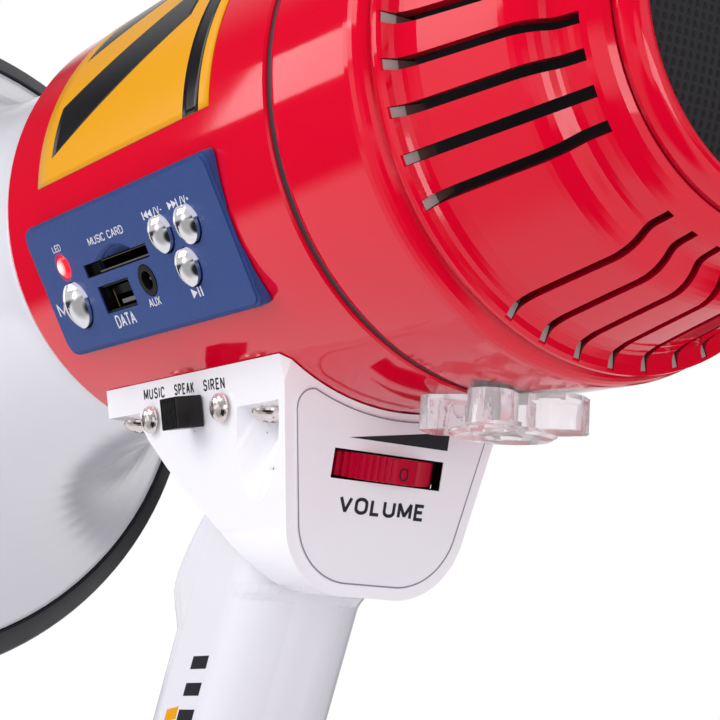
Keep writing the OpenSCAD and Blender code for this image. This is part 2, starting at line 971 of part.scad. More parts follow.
module switch_knob() {
  color("#17171a")
    on_side()
      translate([switch_x - knob_travel / 2, switch_down, 0])
        union() {
          translate([-1.6, -1.2, -housing_wall - 4])
            cube([3.2, 2.4, housing_wall + 4 + 1]);
          difference() {
            translate([-knob_len / 2, -knob_h / 2, slide_gap])
              cube([knob_len, knob_h, knob_out - slide_gap]);
            for (i = [-3:3])
              translate([i * 0.85 - 0.17, -knob_h, knob_out - 0.5])
                cube([0.34, 2 * knob_h, 2]);
          }
        }
}

module switch_screws() {
  color("#d9dbe0")
    on_side()
      for (side = [-1, 1])
        translate([switch_x + side * screw_span / 2, switch_down, 0.05])
          pan_screw(5.6, 2.3, 2.5, 5);
}

// ------------------------------------------------------------------- grip

module grip_section(inset) {
  rounded(grip_depth - 2 * inset, grip_w - 2 * inset, grip_round - inset);
}

// Corners of an upright section of the grip whose front is at the given place.
function level_ring(level, long, w, r) = [
  for (corner = [[-1, -1, 180], [1, -1, 270], [1, 1, 0], [-1, 1, 90]])
    for (turn = [0:10:90])
      [
        level[1] - long / 2 + corner[0] * (long / 2 - r) + r * cos(corner[2] + turn),
        corner[1] * (w / 2 - r) + r * sin(corner[2] + turn),
        level[0]
      ]
];

// Closed skin over a stack of sections, from the lowest to the highest.
module lofted(rings) {
  count = len(rings[0]);
  top = count * (len(rings) - 1);
  polyhedron(
    points = [for (ring = rings) each ring],
    faces = concat(
      [[for (i = [0:count - 1]) i]],
      [for (k = [0:len(rings) - 2]) for (i = [0:count - 1])
        [k * count + i, (k + 1) * count + i, (k + 1) * count + (i + 1) % count, k * count + (i + 1) % count]],
      [[for (i = [0:count - 1]) top + count - 1 - i]]
    )
  );
}

// Brow over the trigger: heights, and how far forwards it reaches at each.
brow_levels = [
  [-91, 86], [-87.4, 87.2], [-84.4, 88.4], [-81.7, 89.2], [-79.8, 89], [-77.8, 88.1], [-75, 86.3],
  [-72, 84], [-69, 81.4], [-66, 78.4], [-61, 74.4]
];
// Flare where the back of the grip meets the housing: heights, and the front of each section.
flare_levels = [[-85.4, 78.7], [-84, 78], [-83, 77.3], [-82.2, 76.5], [-81.6, 75.7], [-80, 74.4]];

module grip_brow() {
  lofted([for (level = brow_levels) level_ring(level, 26, grip_w - 0.2, 10.6)]);
  lofted([for (level = flare_levels) level_ring(level, 30, grip_w - 0.1, grip_round + 0.8)]);
}

module grip() {
  color("white")
    difference() {
      union() {
        difference() {
          union() {
            on_grip()
              translate([0, 0, -112])
                linear_extrude(height = 136)
                  grip_section(0);
            grip_brow();
          }
          // hollow inside
          on_grip()
            translate([0, 0, -92])
              linear_extrude(height = 106)
                grip_section(grip_wall);
          // mouth for the trigger
          on_grip()
            translate([pivot_at[0] - 6, -trigger_w / 2 - slide_gap, trigger_low - 0.8])
              cube([30, trigger_w + 2 * slide_gap, pivot_at[1] + 4.2 - trigger_low + 0.8]);
        }
        // bosses for the trigger pin, kept within the grip's own rounding
        intersection() {
          on_grip()
            for (side = [-1, 1])
              translate([pivot_at[0], side * 9.3, pivot_at[1]])
                rotate([90, 0, 0])
                  cylinder(h = 5, r = 4, center = true);
          on_grip()
            translate([0, 0, pivot_at[1] - 6])
              linear_extrude(height = 12)
                grip_section(grip_wall * 0.3);
        }
      }
      on_grip()
        pin_y(pivot_at[0], pivot_at[1], 1.5, trigger_pin_half);
      housing_solid(0);
      translate([-50, -50, -foot_z - 50])
        cube([250, 100, 50]);
      translate([0, -50, -49])
        cube([150, 100, 50]);
    }
}

module trigger() {
  front = grip_depth / 2;
  color("#e8e8ea")
    on_grip()
      difference() {
        union() {
          pin_y(pivot_at[0], pivot_at[1], 3.4, trigger_w / 2);
          translate([0, trigger_w / 2, 0])
            rotate([90, 0, 0])
              linear_extrude(height = trigger_w)
                polygon([
                  [pivot_at[0], pivot_at[1] + 3.3], [front + 0.2, pivot_at[1] + 2.2],
                  [front + 1, pivot_at[1] - 2],
                  [front + 1.2, -36], [front + 2, -44], [front + 3.4, -52], [front + 3.2, -56],
                  [front + 1.2, trigger_low], [front - 3.4, trigger_low], [front - 3.4, -34],
                  [pivot_at[0] - 3.3, pivot_at[1] - 1]
                ]);
        }
        pin_y(pivot_at[0], pivot_at[1], 1.5 + pin_gap, 20);
      }
}

module trigger_pin() {
  color("#b9bcc2")
    on_grip()
      pin_y(pivot_at[0], pivot_at[1], 1.5, trigger_pin_half - 0.1);
}

module trigger_spring() {
  color("#c9ccd2")
    on_grip()
      translate([grip_depth / 2 - 3.7 - 9, 0, -42])
        rotate([0, 90, 0])
          linear_extrude(height = 9, twist = -360 * 4, slices = 48)
            translate([2.4, 0])
              circle(d = 1.1, $fn = 6);
}

module trigger_switch() {
  color("#2d2e33")
    on_grip()
      union() {
        translate([grip_depth / 2 - 14.4, -6.4, -57.5])
          cube([6.4, 12.8, 9]);
        translate([grip_depth / 2 - 8.2, -1.5, -54.5])
          cube([1.0, 3, 3]);
        translate([-grip_depth / 2 + grip_wall + 0.05, -3, -56])
          cube([grip_depth - 14.4 - grip_wall + eps, 6, 4]);
        translate([-grip_depth / 2 + grip_wall + 0.05, -3, -43.5])
          cube([grip_depth - 13 - grip_wall, 6, 3]);
      }
}

// ------------------------------------------------------------------ latch

latch_top = -barrel_r - 0.4;
latch_low = latch_top - 5.8;
latch_screw_low = latch_top - 6;

module latch_knob() {
  color([0.9, 0.9, 0.95, 0.5])
    translate([latch_x, 0, 0])
      rotate([0, 0, latch_angle])
        difference() {
          union() {
            translate([0, 0, latch_low])
              linear_extrude(height = latch_top - latch_low)
                union() {
                  rounded(latch_len, latch_w, 2.4);
                  rotate(90)
                    rounded(lobe_len, lobe_w, lobe_w / 2 - eps);
                }
            // round cheeks near the ends of the wing
            for (side = [-1, 1])
              translate([side * (latch_len / 2 - 5), 0, latch_low])
                cylinder(h = latch_top - latch_low - 0.8, r = latch_w / 2 + 0.4);
            translate([0, 0, latch_low - 0.5])
              cylinder(h = 0.5 + eps, r = flange_r);
            translate([0, 0, latch_low - 1])
              cylinder(h = 0.5 + eps, r1 = flange_r - 0.8, r2 = flange_r);
          }
          translate([0, 0, latch_low - 5])
            cylinder(h = 20, r = 1.5 + pin_gap);
          translate([0, 0, latch_low - 5])
            cylinder(h = latch_screw_low + 1.8 - latch_low + 5, r = 3.1 + slide_gap);
        }
}

module latch_screw() {
  color("#b9bcc2")
    translate([latch_x, 0, latch_screw_low])
      union() {
        translate([0, 0, 1.6])
          cylinder(h = 10.2, r = 1.5);
        cylinder(h = 1.7, r = 3);
      }
}

// ------------------------------------------------------------------ nodes

row_frame() {
  horn_bell();
  horn_rim();
  sound_reflector();
  throat_tube();
  driver_magnet();
  driver_dome();
  front_shell();
  seam_ring();
  rear_shell();
  lip_ring();
  mic_mesh();
  mic_foam();
  mic_capsule();
  battery_tray();
  battery_cells();
  battery_contacts();
  amp_board();
  amp_parts();
  panel_plate();
  panel_board();
  data_socket();
  card_socket();
  aux_jack();
  status_lamp();
  tact_switches();
  button_previous();
  button_next();
  button_play();
  button_mode();
  handle_housing();
  saddle_screws();
  volume_label();
  volume_wheel();
  volume_control();
  switch_body();
  switch_knob();
  switch_screws();
  grip();
  trigger();
  trigger_pin();
  trigger_spring();
  trigger_switch();
  latch_knob();
  latch_screw();
}
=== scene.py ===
import math

import bmesh
import bpy
from mathutils import Matrix, Vector


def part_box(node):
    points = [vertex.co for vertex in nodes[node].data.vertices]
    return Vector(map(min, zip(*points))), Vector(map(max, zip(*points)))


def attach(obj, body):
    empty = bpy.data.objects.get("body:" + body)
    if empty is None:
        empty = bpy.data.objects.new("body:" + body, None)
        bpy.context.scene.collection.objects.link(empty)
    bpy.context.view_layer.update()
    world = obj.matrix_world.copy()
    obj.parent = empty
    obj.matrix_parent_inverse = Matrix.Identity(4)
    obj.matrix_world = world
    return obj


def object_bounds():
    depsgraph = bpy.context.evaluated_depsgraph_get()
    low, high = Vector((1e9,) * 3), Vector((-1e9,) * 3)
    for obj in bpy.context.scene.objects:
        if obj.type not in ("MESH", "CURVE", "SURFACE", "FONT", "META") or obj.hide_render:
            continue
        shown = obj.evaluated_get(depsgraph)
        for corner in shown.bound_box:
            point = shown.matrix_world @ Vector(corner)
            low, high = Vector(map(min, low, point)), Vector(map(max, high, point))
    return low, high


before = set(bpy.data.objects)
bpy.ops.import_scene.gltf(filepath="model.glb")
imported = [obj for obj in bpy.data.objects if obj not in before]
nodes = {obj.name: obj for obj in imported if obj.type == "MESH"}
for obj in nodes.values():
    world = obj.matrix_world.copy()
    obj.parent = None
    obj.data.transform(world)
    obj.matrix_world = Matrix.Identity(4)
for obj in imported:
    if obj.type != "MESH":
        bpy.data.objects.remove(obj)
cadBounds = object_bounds()
mm = 0.001
print("frame loaded:", len(nodes), "nodes")


# ---- places: everything is measured from the middle of the seam, on the barrel's axis

seamLow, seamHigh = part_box("seam_ring")
seamMiddle = (seamLow + seamHigh) / 2


def fromSeam(x, y, z):  # millimetres from the middle of the seam
    return seamMiddle + Vector((x, y, z)) * mm


def facePlane(origin, right, up):  # a flat face to print on: its normal looks out of the part
    right, up = Vector(right).normalized(), Vector(up).normalized()
    plane = Matrix.Identity(4)
    for column, axis in enumerate((right, up, right.cross(up))):
        plane.col[column][:3] = axis
    plane.translation = origin
    return plane


places = {
    "panelAngle": -29.6,  # degrees from level, round the barrel
    "panelReach": 48.9,  # from the axis to the face of the panel
    "sideTop": (25.4, -40.7),  # upper edge of the housing's left face, y and z
    "sideTaper": 0.2,  # millimetres outwards for each one up
    "rearFace": (28.6, -56.0),  # a point of the housing's rear face, x and z
    "rearLean": 10,  # degrees
    "gripTop": (65.4, -80.0),  # a point of the grip's left face, x and z
    "gripLean": 21.8,
}


def panelPlane():
    turn = math.radians(places["panelAngle"])
    reach = places["panelReach"]
    origin = fromSeam(0, reach * math.cos(turn), reach * math.sin(turn))
    return facePlane(origin, (-1, 0, 0), (0, -math.sin(turn), math.cos(turn)))


def sidePlane():
    y, z = places["sideTop"]
    return facePlane(fromSeam(0, y, z), (-1, 0, 0), (0, places["sideTaper"], 1))


def rearPlane():
    x, z = places["rearFace"]
    lean = math.radians(places["rearLean"])
    return facePlane(fromSeam(x, 0, z), (0, -1, 0), (-math.sin(lean), 0, math.cos(lean)))


def gripPlane():  # the grip's left face
    x, z = places["gripTop"]
    lean = math.radians(places["gripLean"])
    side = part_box("grip")[1].y - seamMiddle.y
    origin = fromSeam(x, side / mm, z)
    return facePlane(origin, (-math.cos(lean), 0, -math.sin(lean)), (-math.sin(lean), 0, math.cos(lean)))


# ---- effects that several finishes share

def effectGroup(name, inputs, outputs):
    group = bpy.data.node_groups.new(name, "ShaderNodeTree")
    for label, kind, value in inputs:
        socket = group.interface.new_socket(name=label, in_out="INPUT", socket_type=kind)
        socket.default_value = value
    for label, kind in outputs:
        group.interface.new_socket(name=label, in_out="OUTPUT", socket_type=kind)
    return group, group.nodes.new("NodeGroupInput"), group.nodes.new("NodeGroupOutput")


def mathNode(tree, operation, first, second=None, clamp=False):
    node = tree.nodes.new("ShaderNodeMath")
    node.operation = operation
    node.use_clamp = clamp
    for index, value in enumerate((first, second)):
        if value is None:
            continue
        if isinstance(value, (int, float)):
            node.inputs[index].default_value = value
        else:
            tree.links.new(value, node.inputs[index])
    return node.outputs[0]


def noiseNode(tree, coordinates, scale, detail=3.0, roughness=0.55):
    node = tree.nodes.new("ShaderNodeTexNoise")
    node.inputs["Detail"].default_value = detail
    node.inputs["Roughness"].default_value = roughness
    if isinstance(scale, (int, float)):
        node.inputs["Scale"].default_value = scale
    else:
        tree.links.new(scale, node.inputs["Scale"])
    tree.links.new(coordinates, node.inputs["Vector"])
    return node.outputs["Fac"]


def buildMottle():  # slow drift of a colour, as pigment and thickness vary in a moulding
    group, given, result = effectGroup(
        "mottle",
        [("Colour", "NodeSocketColor", (0.8, 0.8, 0.8, 1)), ("Amount", "NodeSocketFloat", 0.04),
         ("Scale", "NodeSocketFloat", 40.0)],
        [("Colour", "NodeSocketColor")],
    )
    where = group.nodes.new("ShaderNodeTexCoord").outputs["Object"]
    drift = noiseNode(group, where, given.outputs["Scale"])
    centred = mathNode(group, "SUBTRACT", drift, 0.5)
    value = mathNode(group, "ADD", mathNode(group, "MULTIPLY", centred, given.outputs["Amount"]), 1.0)
    shift = group.nodes.new("ShaderNodeHueSaturation")
    group.links.new(given.outputs["Colour"], shift.inputs["Color"])
    group.links.new(value, shift.inputs["Value"])
    group.links.new(shift.outputs["Color"], result.inputs["Colour"])
    return group


def buildGlossDrift():  # slow change of the roughness over a surface
    group, given, result = effectGroup(
        "glossDrift",
        [("Roughness", "NodeSocketFloat", 0.3), ("Amount", "NodeSocketFloat", 0.08),
         ("Scale", "NodeSocketFloat", 70.0)],
        [("Roughness", "NodeSocketFloat")],
    )
    where = group.nodes.new("ShaderNodeTexCoord").outputs["Object"]
    drift = mathNode(group, "SUBTRACT", noiseNode(group, where, given.outputs["Scale"]), 0.5)
    change = mathNode(group, "MULTIPLY", drift, given.outputs["Amount"])
    group.links.new(mathNode(group, "ADD", change, given.outputs["Roughness"]), result.inputs["Roughness"])
    return group


def buildGrain():  # height of a fine moulded texture
    group, given, result = effectGroup(
        "grain",
        [("Scale", "NodeSocketFloat", 900.0), ("Depth", "NodeSocketFloat", 1.0)],
        [("Height", "NodeSocketFloat")],
    )
    where = group.nodes.new("ShaderNodeTexCoord").outputs["Object"]
    fine = noiseNode(group, where, given.outputs["Scale"], 4.0, 0.6)
    broad = noiseNode(group, where, mathNode(group, "MULTIPLY", given.outputs["Scale"], 0.09), 1.0, 0.4)
    both = mathNode(group, "ADD", fine, mathNode(group, "MULTIPLY", broad, 0.6))
    group.links.new(mathNode(group, "MULTIPLY", both, given.outputs["Depth"]), result.inputs["Height"])
    return group


def buildDust():  # sparse specks, from 0 to 1
    group, given, result = effectGroup(
        "dust",
        [("Scale", "NodeSocketFloat", 500.0), ("Size", "NodeSocketFloat", 0.08),
         ("Rarity", "NodeSocketFloat", 0.93)],
        [("Mask", "NodeSocketFloat")],
    )
    where = group.nodes.new("ShaderNodeTexCoord").outputs["Object"]
    cells = group.nodes.new("ShaderNodeTexVoronoi")
    group.links.new(where, cells.inputs["Vector"])
    group.links.new(given.outputs["Scale"], cells.inputs["Scale"])
    near = mathNode(group, "LESS_THAN", cells.outputs["Distance"], given.outputs["Size"])
    split = group.nodes.new("ShaderNodeSeparateColor")
    group.links.new(cells.outputs["Color"], split.inputs["Color"])
    chosen = mathNode(group, "GREATER_THAN", split.outputs[0], given.outputs["Rarity"])
    group.links.new(mathNode(group, "MULTIPLY", near, chosen), result.inputs["Mask"])
    return group


def buildEdgeWear():  # 1 along convex edges, broken up by noise
    group, given, result = effectGroup(
        "edgeWear",
        [("Reach", "NodeSocketFloat", 0.56), ("Scale", "NodeSocketFloat", 260.0)],
        [("Mask", "NodeSocketFloat")],
    )
    where = group.nodes.new("ShaderNodeTexCoord").outputs["Object"]
    pointed = group.nodes.new("ShaderNodeNewGeometry").outputs["Pointiness"]
    past = mathNode(group, "SUBTRACT", pointed, given.outputs["Reach"])
    edge = mathNode(group, "MULTIPLY", past, 14.0, clamp=True)
    broken = noiseNode(group, where, given.outputs["Scale"])
    mask = mathNode(group, "MULTIPLY", edge, mathNode(group, "MULTIPLY", broken, 1.6, clamp=True))
    group.links.new(mask, result.inputs["Mask"])
    return group


effects = {
    "mottle": buildMottle(),
    "glossDrift": buildGlossDrift(),
    "grain": buildGrain(),
    "dust": buildDust(),
    "edgeWear": buildEdgeWear(),
}
print("shared effects built")


# ---- finishes

def placeEffect(tree, name, values):
    node = tree.nodes.new("ShaderNodeGroup")
    node.node_tree = effects[name]
    for label, value in values.items():
        node.inputs[label].default_value = value
    return node


def mixColours(tree, mask, first, second, mode="MIX"):
    node = tree.nodes.new("ShaderNodeMix")
    node.data_type = "RGBA"
    node.blend_type = mode
    if isinstance(mask, (int, float)):
        node.inputs[0].default_value = mask
    else:
        tree.links.new(mask, node.inputs[0])
    for index, value in ((6, first), (7, second)):
        if isinstance(value, tuple):
            node.inputs[index].default_value = value
        else:
            tree.links.new(value, node.inputs[index])
    return node.outputs[2]


def softStep(tree, value, start, end):
    step = tree.nodes.new("ShaderNodeMapRange")
    step.interpolation_type = "SMOOTHSTEP"
    step.inputs["From Min"].default_value = start
    step.inputs["From Max"].default_value = end
    tree.links.new(value, step.inputs["Value"])
    return step.outputs["Result"]


def hexColour(code):  # "c8001f" as it shows on a screen, turned into the scene's linear values
    def linear(part):
        value = int(part, 16) / 255
        return value / 12.92 if value <= 0.04045 else ((value + 0.055) / 1.055) ** 2.4
    return (linear(code[0:2]), linear(code[2:4]), linear(code[4:6]), 1.0)


plainLook = {
    "colour": "808080",
    "roughness": 0.3,
    "roughnessDrift": 0.04,  # how far the roughness goes up and down
    "metallic": 0.0,
    "sheen": 0.5,  # level of the reflections, 0.5 as plain plastic
    "mottle": 0.05,
    "mottleScale": 45.0,
    "grainScale": 900.0,
    "grainDepth": 0.02,
    "grainHeight": 0.4,  # millimetres at full depth
    "wearColour": None,  # colour along worn edges
    "dustColour": None,
}


def makeFinish(name, **changes):
    look = dict(plainLook, **changes)
    material = bpy.data.materials.new(name)
    material.use_nodes = True
    tree = material.node_tree
    shader = tree.nodes["Principled BSDF"]
    shader.inputs["Metallic"].default_value = look["metallic"]
    shader.inputs["Specular IOR Level"].default_value = look["sheen"]
    mottle = placeEffect(tree, "mottle", {
        "Colour": hexColour(look["colour"]), "Amount": look["mottle"], "Scale": look["mottleScale"]})
    colour = mottle.outputs["Colour"]
    if look["wearColour"]:
        wear = placeEffect(tree, "edgeWear", {})
        colour = mixColours(tree, wear.outputs["Mask"], colour, hexColour(look["wearColour"]))
    if look["dustColour"]:
        dust = placeEffect(tree, "dust", {})
        colour = mixColours(tree, dust.outputs["Mask"], colour, hexColour(look["dustColour"]))
    tree.links.new(colour, shader.inputs["Base Color"])
    gloss = placeEffect(tree, "glossDrift", {
        "Roughness": look["roughness"], "Amount": look["roughnessDrift"] * 2})
    tree.links.new(gloss.outputs["Roughness"], shader.inputs["Roughness"])
    grain = placeEffect(tree, "grain", {"Scale": look["grainScale"]})
    bump = tree.nodes.new("ShaderNodeBump")
    bump.inputs["Strength"].default_value = look["grainDepth"]
    bump.inputs["Distance"].default_value = look["grainHeight"] * mm
    tree.links.new(grain.outputs["Height"], bump.inputs["Height"])
    tree.links.new(bump.outputs["Normal"], shader.inputs["Normal"])
    return material


def addPaintedLight(material, mask, colour, level):  # painted light: the surface gives out light where the mask is 1, for light and reflections that fall on it
    tree = material.node_tree
    shader = tree.nodes["Principled BSDF"]
    glow = mixColours(tree, mask, (0.0, 0.0, 0.0, 1.0), hexColour(colour))
    tree.links.new(glow, shader.inputs["Emission Color"])
    shader.inputs["Emission Strength"].default_value = level


clearLook = {
    "colour": "fffafd",
    "roughness": 0.04,
    "clear": 0.82,
    "bend": 1.26,
    "paintedGlowColour": "efe9ec",  # painted light: a faint glow of the clear plastic, which is no lamp
    "paintedGlowLevel": 0.05,
}


def makeClearPlastic(name):
    material = makeFinish(name, colour=clearLook["colour"], roughness=clearLook["roughness"],
                          roughnessDrift=0.02, mottle=0.02, grainDepth=0.25, grainScale=260.0)
    shader = material.node_tree.nodes["Principled BSDF"]
    shader.inputs["Transmission Weight"].default_value = clearLook["clear"]
    shader.inputs["IOR"].default_value = clearLook["bend"]
    # painted light: the clear knob gives out a faint light of its own
    shader.inputs["Emission Color"].default_value = hexColour(clearLook["paintedGlowColour"])
    shader.inputs["Emission Strength"].default_value = clearLook["paintedGlowLevel"]
    return material


weave = {
    "column": 1.3,  # millimetres from thread to thread
    "row": 1.5,
    "lean": 0.115,  # millimetres sideways for each one up
    "narrow": (5.0, 1.5),  # how narrow a gap is across and along the threads
    "open": 1.7,  # a higher number makes the gaps fuller
    # painted shade: the gaps between the threads are near black for the shade behind them
    "gap": "0c0003",
    "thread": "19171d",
    "depth": 0.5,
}


def makeMeshCloth(name):  # woven cover of the microphone: upright threads, rows of gaps between them coloured with painted shade
    material = makeFinish(name, colour=weave["thread"], roughness=0.7, mottle=0.3, mottleScale=300.0)
    tree = material.node_tree
    shader = tree.nodes["Principled BSDF"]
    split = tree.nodes.new("ShaderNodeSeparateXYZ")
    tree.links.new(tree.nodes.new("ShaderNodeTexCoord").outputs["Object"], split.inputs[0])
    lean = mathNode(tree, "MULTIPLY", split.outputs[2], weave["lean"])
    leaning = mathNode(tree, "ADD", split.outputs[1], lean)
    column = mathNode(tree, "DIVIDE", leaning, weave["column"] * mm)
    across = mathNode(tree, "SINE", mathNode(tree, "MULTIPLY", mathNode(tree, "FRACT", column), math.pi))
    row = mathNode(tree, "DIVIDE", split.outputs[2], weave["row"] * mm)
    along = mathNode(tree, "SINE", mathNode(tree, "MULTIPLY", mathNode(tree, "FRACT", row), math.pi))
    acrossPower, alongPower = weave["narrow"]
    side = mathNode(tree, "POWER", across, acrossPower)
    hole = mathNode(tree, "MULTIPLY", side, mathNode(tree, "POWER", along, alongPower), clamp=True)
    mask = mathNode(tree, "MULTIPLY", hole, weave["open"], clamp=True)
    plain = shader.inputs["Base Color"].links[0].from_socket
    tree.links.new(mixColours(tree, mask, plain, hexColour(weave["gap"])), shader.inputs["Base Color"])
    bump = shader.inputs["Normal"].links[0].from_node
    bump.inputs["Strength"].default_value = weave["depth"]
    tree.links.new(mathNode(tree, "SUBTRACT", 1.0, mask), bump.inputs["Height"])
    return material


redLook = {"colour": "de0029", "roughness": 0.07, "roughnessDrift": 0.02, "mottle": 0.05,
           "mottleScale": 14.0, "grainScale": 260.0, "grainDepth": 0.015}

slotShade = {
    "colour": "140003",
    "reach": 3.2,  # millimetres
    "open": (0.3, 0.62),  # how open a place is where the shade is full, and where it ends
}


def makeSlottedShell(name):  # the red of the shells, dark where light cannot reach
    material = makeFinish(name, **redLook)
    tree = material.node_tree
    shader = tree.nodes["Principled BSDF"]
    openness = tree.nodes.new("ShaderNodeAmbientOcclusion")
    openness.samples = 4
    openness.inputs["Distance"].default_value = slotShade["reach"] * mm
    low, high = slotShade["open"]
    lit = softStep(tree, openness.outputs["AO"], low, high)
    plain = shader.inputs["Base Color"].links[0].from_socket
    tree.links.new(mixColours(tree, lit, hexColour(slotShade["colour"]), plain), shader.inputs["Base Color"])
    return material


paintedRoomReflection = {  # painted reflection of a pale room on polished metal: how far a place leans upwards where the room starts and where it is full, then its level
    "chrome": (0.17, 0.27, 0.6),
    "nickel": (0.0, 0.5, 0.4),
}


def makePolished(name, **changes):  # bright metal with a painted reflection of a pale room on its upper half
    material = makeFinish(name, metallic=1.0, **changes)
    tree = material.node_tree
    lean = tree.nodes.new("ShaderNodeVectorMath")
    lean.operation = "DOT_PRODUCT"
    tree.links.new(tree.nodes.new("ShaderNodeNewGeometry").outputs["Normal"], lean.inputs[0])
    lean.inputs[1].default_value = panelPlane().col[1][:3]
    start, full, level = paintedRoomReflection[name]
    # painted reflection: the metal gives out light where it faces upwards
    addPaintedLight(material, softStep(tree, lean.outputs["Value"], start, full), "f2eef1", level)
    return material


lampGlow = {
    "place": (80.06, 4.06),  # x along the barrel, height on the panel
    "edge": "ff1a22",
    "core": "fff0e6",
    "coreSize": 1.7,
    "coreHeight": 0.4,
    "strength": 1.35,
    "halo": (1.6, 3.4),  # from the middle of the lamp: where it is full, and where it ends
    "haloLevel": 0.7,
}


def lampDistance(tree, height):  # metres from the lamp's middle, at this height over the panel's face
    away = tree.nodes.new("ShaderNodeVectorMath")
    away.operation = "DISTANCE"
    tree.links.new(tree.nodes.new("ShaderNodeTexCoord").outputs["Object"], away.inputs[0])
    x, y = lampGlow["place"]
    away.inputs[1].default_value = panelPlane() @ Vector((-x * mm, y * mm, height * mm))
    return away.outputs["Value"]


def makePanelFinish(name):  # blue, with the lamp's red light on it
    material = makeFinish(name, colour="2c4785", roughness=0.45, sheen=0.35, mottle=0.12,
                          mottleScale=700.0, grainScale=2600.0, grainDepth=0.22)
    tree = material.node_tree
    near, far = lampGlow["halo"]
    halo = softStep(tree, lampDistance(tree, 0), far * mm, near * mm)
    addPaintedLight(material, halo, lampGlow["edge"], lampGlow["haloLevel"])
    return material


def makeLampFinish(name):
    material = makeFinish(name, colour=lampGlow["edge"], roughness=0.15)
    tree = material.node_tree
    shader = tree.nodes["Principled BSDF"]
    core = mathNode(tree, "DIVIDE", lampDistance(tree, lampGlow["coreHeight"]), lampGlow["coreSize"] * mm)
    mask = mathNode(tree, "POWER", mathNode(tree, "MINIMUM", core, 1.0), 2.0)
    colour = mixColours(tree, mask, hexColour(lampGlow["core"]), hexColour(lampGlow["edge"]))
    tree.links.new(colour, shader.inputs["Emission Color"])
    shader.inputs["Emission Strength"].default_value = lampGlow["strength"]
    return material


looks = {
    "redShell": redLook,
    "whiteMoulding": dict(colour="faf9ff", roughness=0.16, mottle=0.02, mottleScale=20.0,
                          grainScale=180.0, grainDepth=0.02, dustColour="8d8a90"),
    # the housing's white plastic, painted a little darker on the grip, which takes more light
    "gripShadedMoulding": dict(colour="e9e8f0", roughness=0.2, mottle=0.02, mottleScale=20.0, grainScale=180.0,
                         grainDepth=0.02),
    "whiteBell": dict(colour="e6e5ed", roughness=0.14, mottle=0.03, mottleScale=12.0, grainScale=160.0,
                      grainDepth=0.02),
    "whiteTrigger": dict(colour="e9e8ef", roughness=0.25, mottle=0.02),
    "stickerYellow": dict(colour="e9a20b", roughness=0.3, sheen=0.2, mottle=0.04, grainDepth=0.03),
    "stickerBlack": dict(colour="17161a", roughness=0.2, mottle=0.1, grainDepth=0.03),
    "inkWhite": dict(colour="d9dae4", roughness=0.5, mottle=0.06, mottleScale=900.0),
    "inkBlack": dict(colour="24232b", roughness=0.4, mottle=0.15, mottleScale=900.0),
    "labelFilm": dict(colour="f4f4fb", roughness=0.3, mottle=0.02, mottleScale=30.0, grainScale=700.0,
                      grainDepth=0.03),
    # a grey line of painted shade along the label's edge
    "labelEdgeShade": dict(colour="8f8896", roughness=0.4, mottle=0.1),
    "blackKnob": dict(colour="09080a", roughness=0.3, sheen=0.35, mottle=0.2, mottleScale=200.0,
                      grainDepth=0.06, wearColour="2c2a30"),
    "wheelRed": dict(colour="bd0030", roughness=0.3, sheen=0.2, mottle=0.08, grainDepth=0.05),
    "rubberRim": dict(colour="1d1b23", roughness=0.42, sheen=0.35, mottle=0.15, mottleScale=90.0,
                      grainScale=1500.0, grainDepth=0.08),
    "seamGrey": dict(colour="303036", roughness=0.5, mottle=0.1, grainDepth=0.1),
    "foam": dict(colour="26252a", roughness=0.95, mottle=0.5, mottleScale=1500.0, grainScale=1800.0,
                 grainDepth=0.9),
    "socketSteel": dict(colour="232227", roughness=0.3, metallic=0.8, mottle=0.1),
    "socketStrip": dict(colour="6f6c74", roughness=0.3, metallic=0.4, mottle=0.2, mottleScale=900.0),
    "contactGold": dict(colour="6f5428", roughness=0.35, metallic=0.7, mottle=0.2, mottleScale=900.0),
    "jackBlack": dict(colour="101013", roughness=0.4, sheen=0.25, mottle=0.1),
    # painted shade: the pale collar's colour, darkened and browned where it lies deeper in the slot
    "collarPaintedShade": dict(colour="5f4442", roughness=0.6, sheen=0.2, mottle=0.3, mottleScale=120.0),
    "paleCollar": dict(colour="a89896", roughness=0.5, sheen=0.3, mottle=0.2, mottleScale=120.0),
    "steel": dict(colour="b9bac0", roughness=0.28, metallic=1.0, mottle=0.08, grainScale=1300.0,
                  grainDepth=0.08),
    "amberFilm": dict(colour="c08a44", roughness=0.3, mottle=0.15, mottleScale=60.0),
    "cellWrap": dict(colour="34618f", roughness=0.22, mottle=0.1, mottleScale=120.0),
    "boardGreen": dict(colour="155c33", roughness=0.35, mottle=0.3, mottleScale=500.0, grainDepth=0.1),
    "darkPlastic": dict(colour="46464c", roughness=0.45, mottle=0.1, grainDepth=0.1),
    # near black for painted shade: the sheets inside the openings, and the card socket deep in its opening
    "paintedShadeBlack": dict(colour="050506", roughness=0.6, sheen=0.1, mottle=0.1),
    "blackPlastic": dict(colour="17171a", roughness=0.35, mottle=0.2, grainDepth=0.08),
}

polishedLooks = {
    "chrome": dict(colour="e9e9ec", roughness=0.05, roughnessDrift=0.01, mottle=0.02, grainScale=150.0,
                   grainDepth=0.01),
    "nickel": dict(colour="e2d8d5", roughness=0.14, roughnessDrift=0.03, mottle=0.06, grainDepth=0.04,
                   wearColour="a08f84"),
}

specialFinishes = {
    "slottedShell": makeSlottedShell,
    "bluePanel": makePanelFinish,
    "clearPlastic": makeClearPlastic,
    "meshCloth": makeMeshCloth,
    "lampRed": makeLampFinish,
}

finishes = {name: makeFinish(name, **look) for name, look in looks.items()}
finishes.update({name: makePolished(name, **look) for name, look in polishedLooks.items()})
finishes.update({name: make(name) for name, make in specialFinishes.items()})

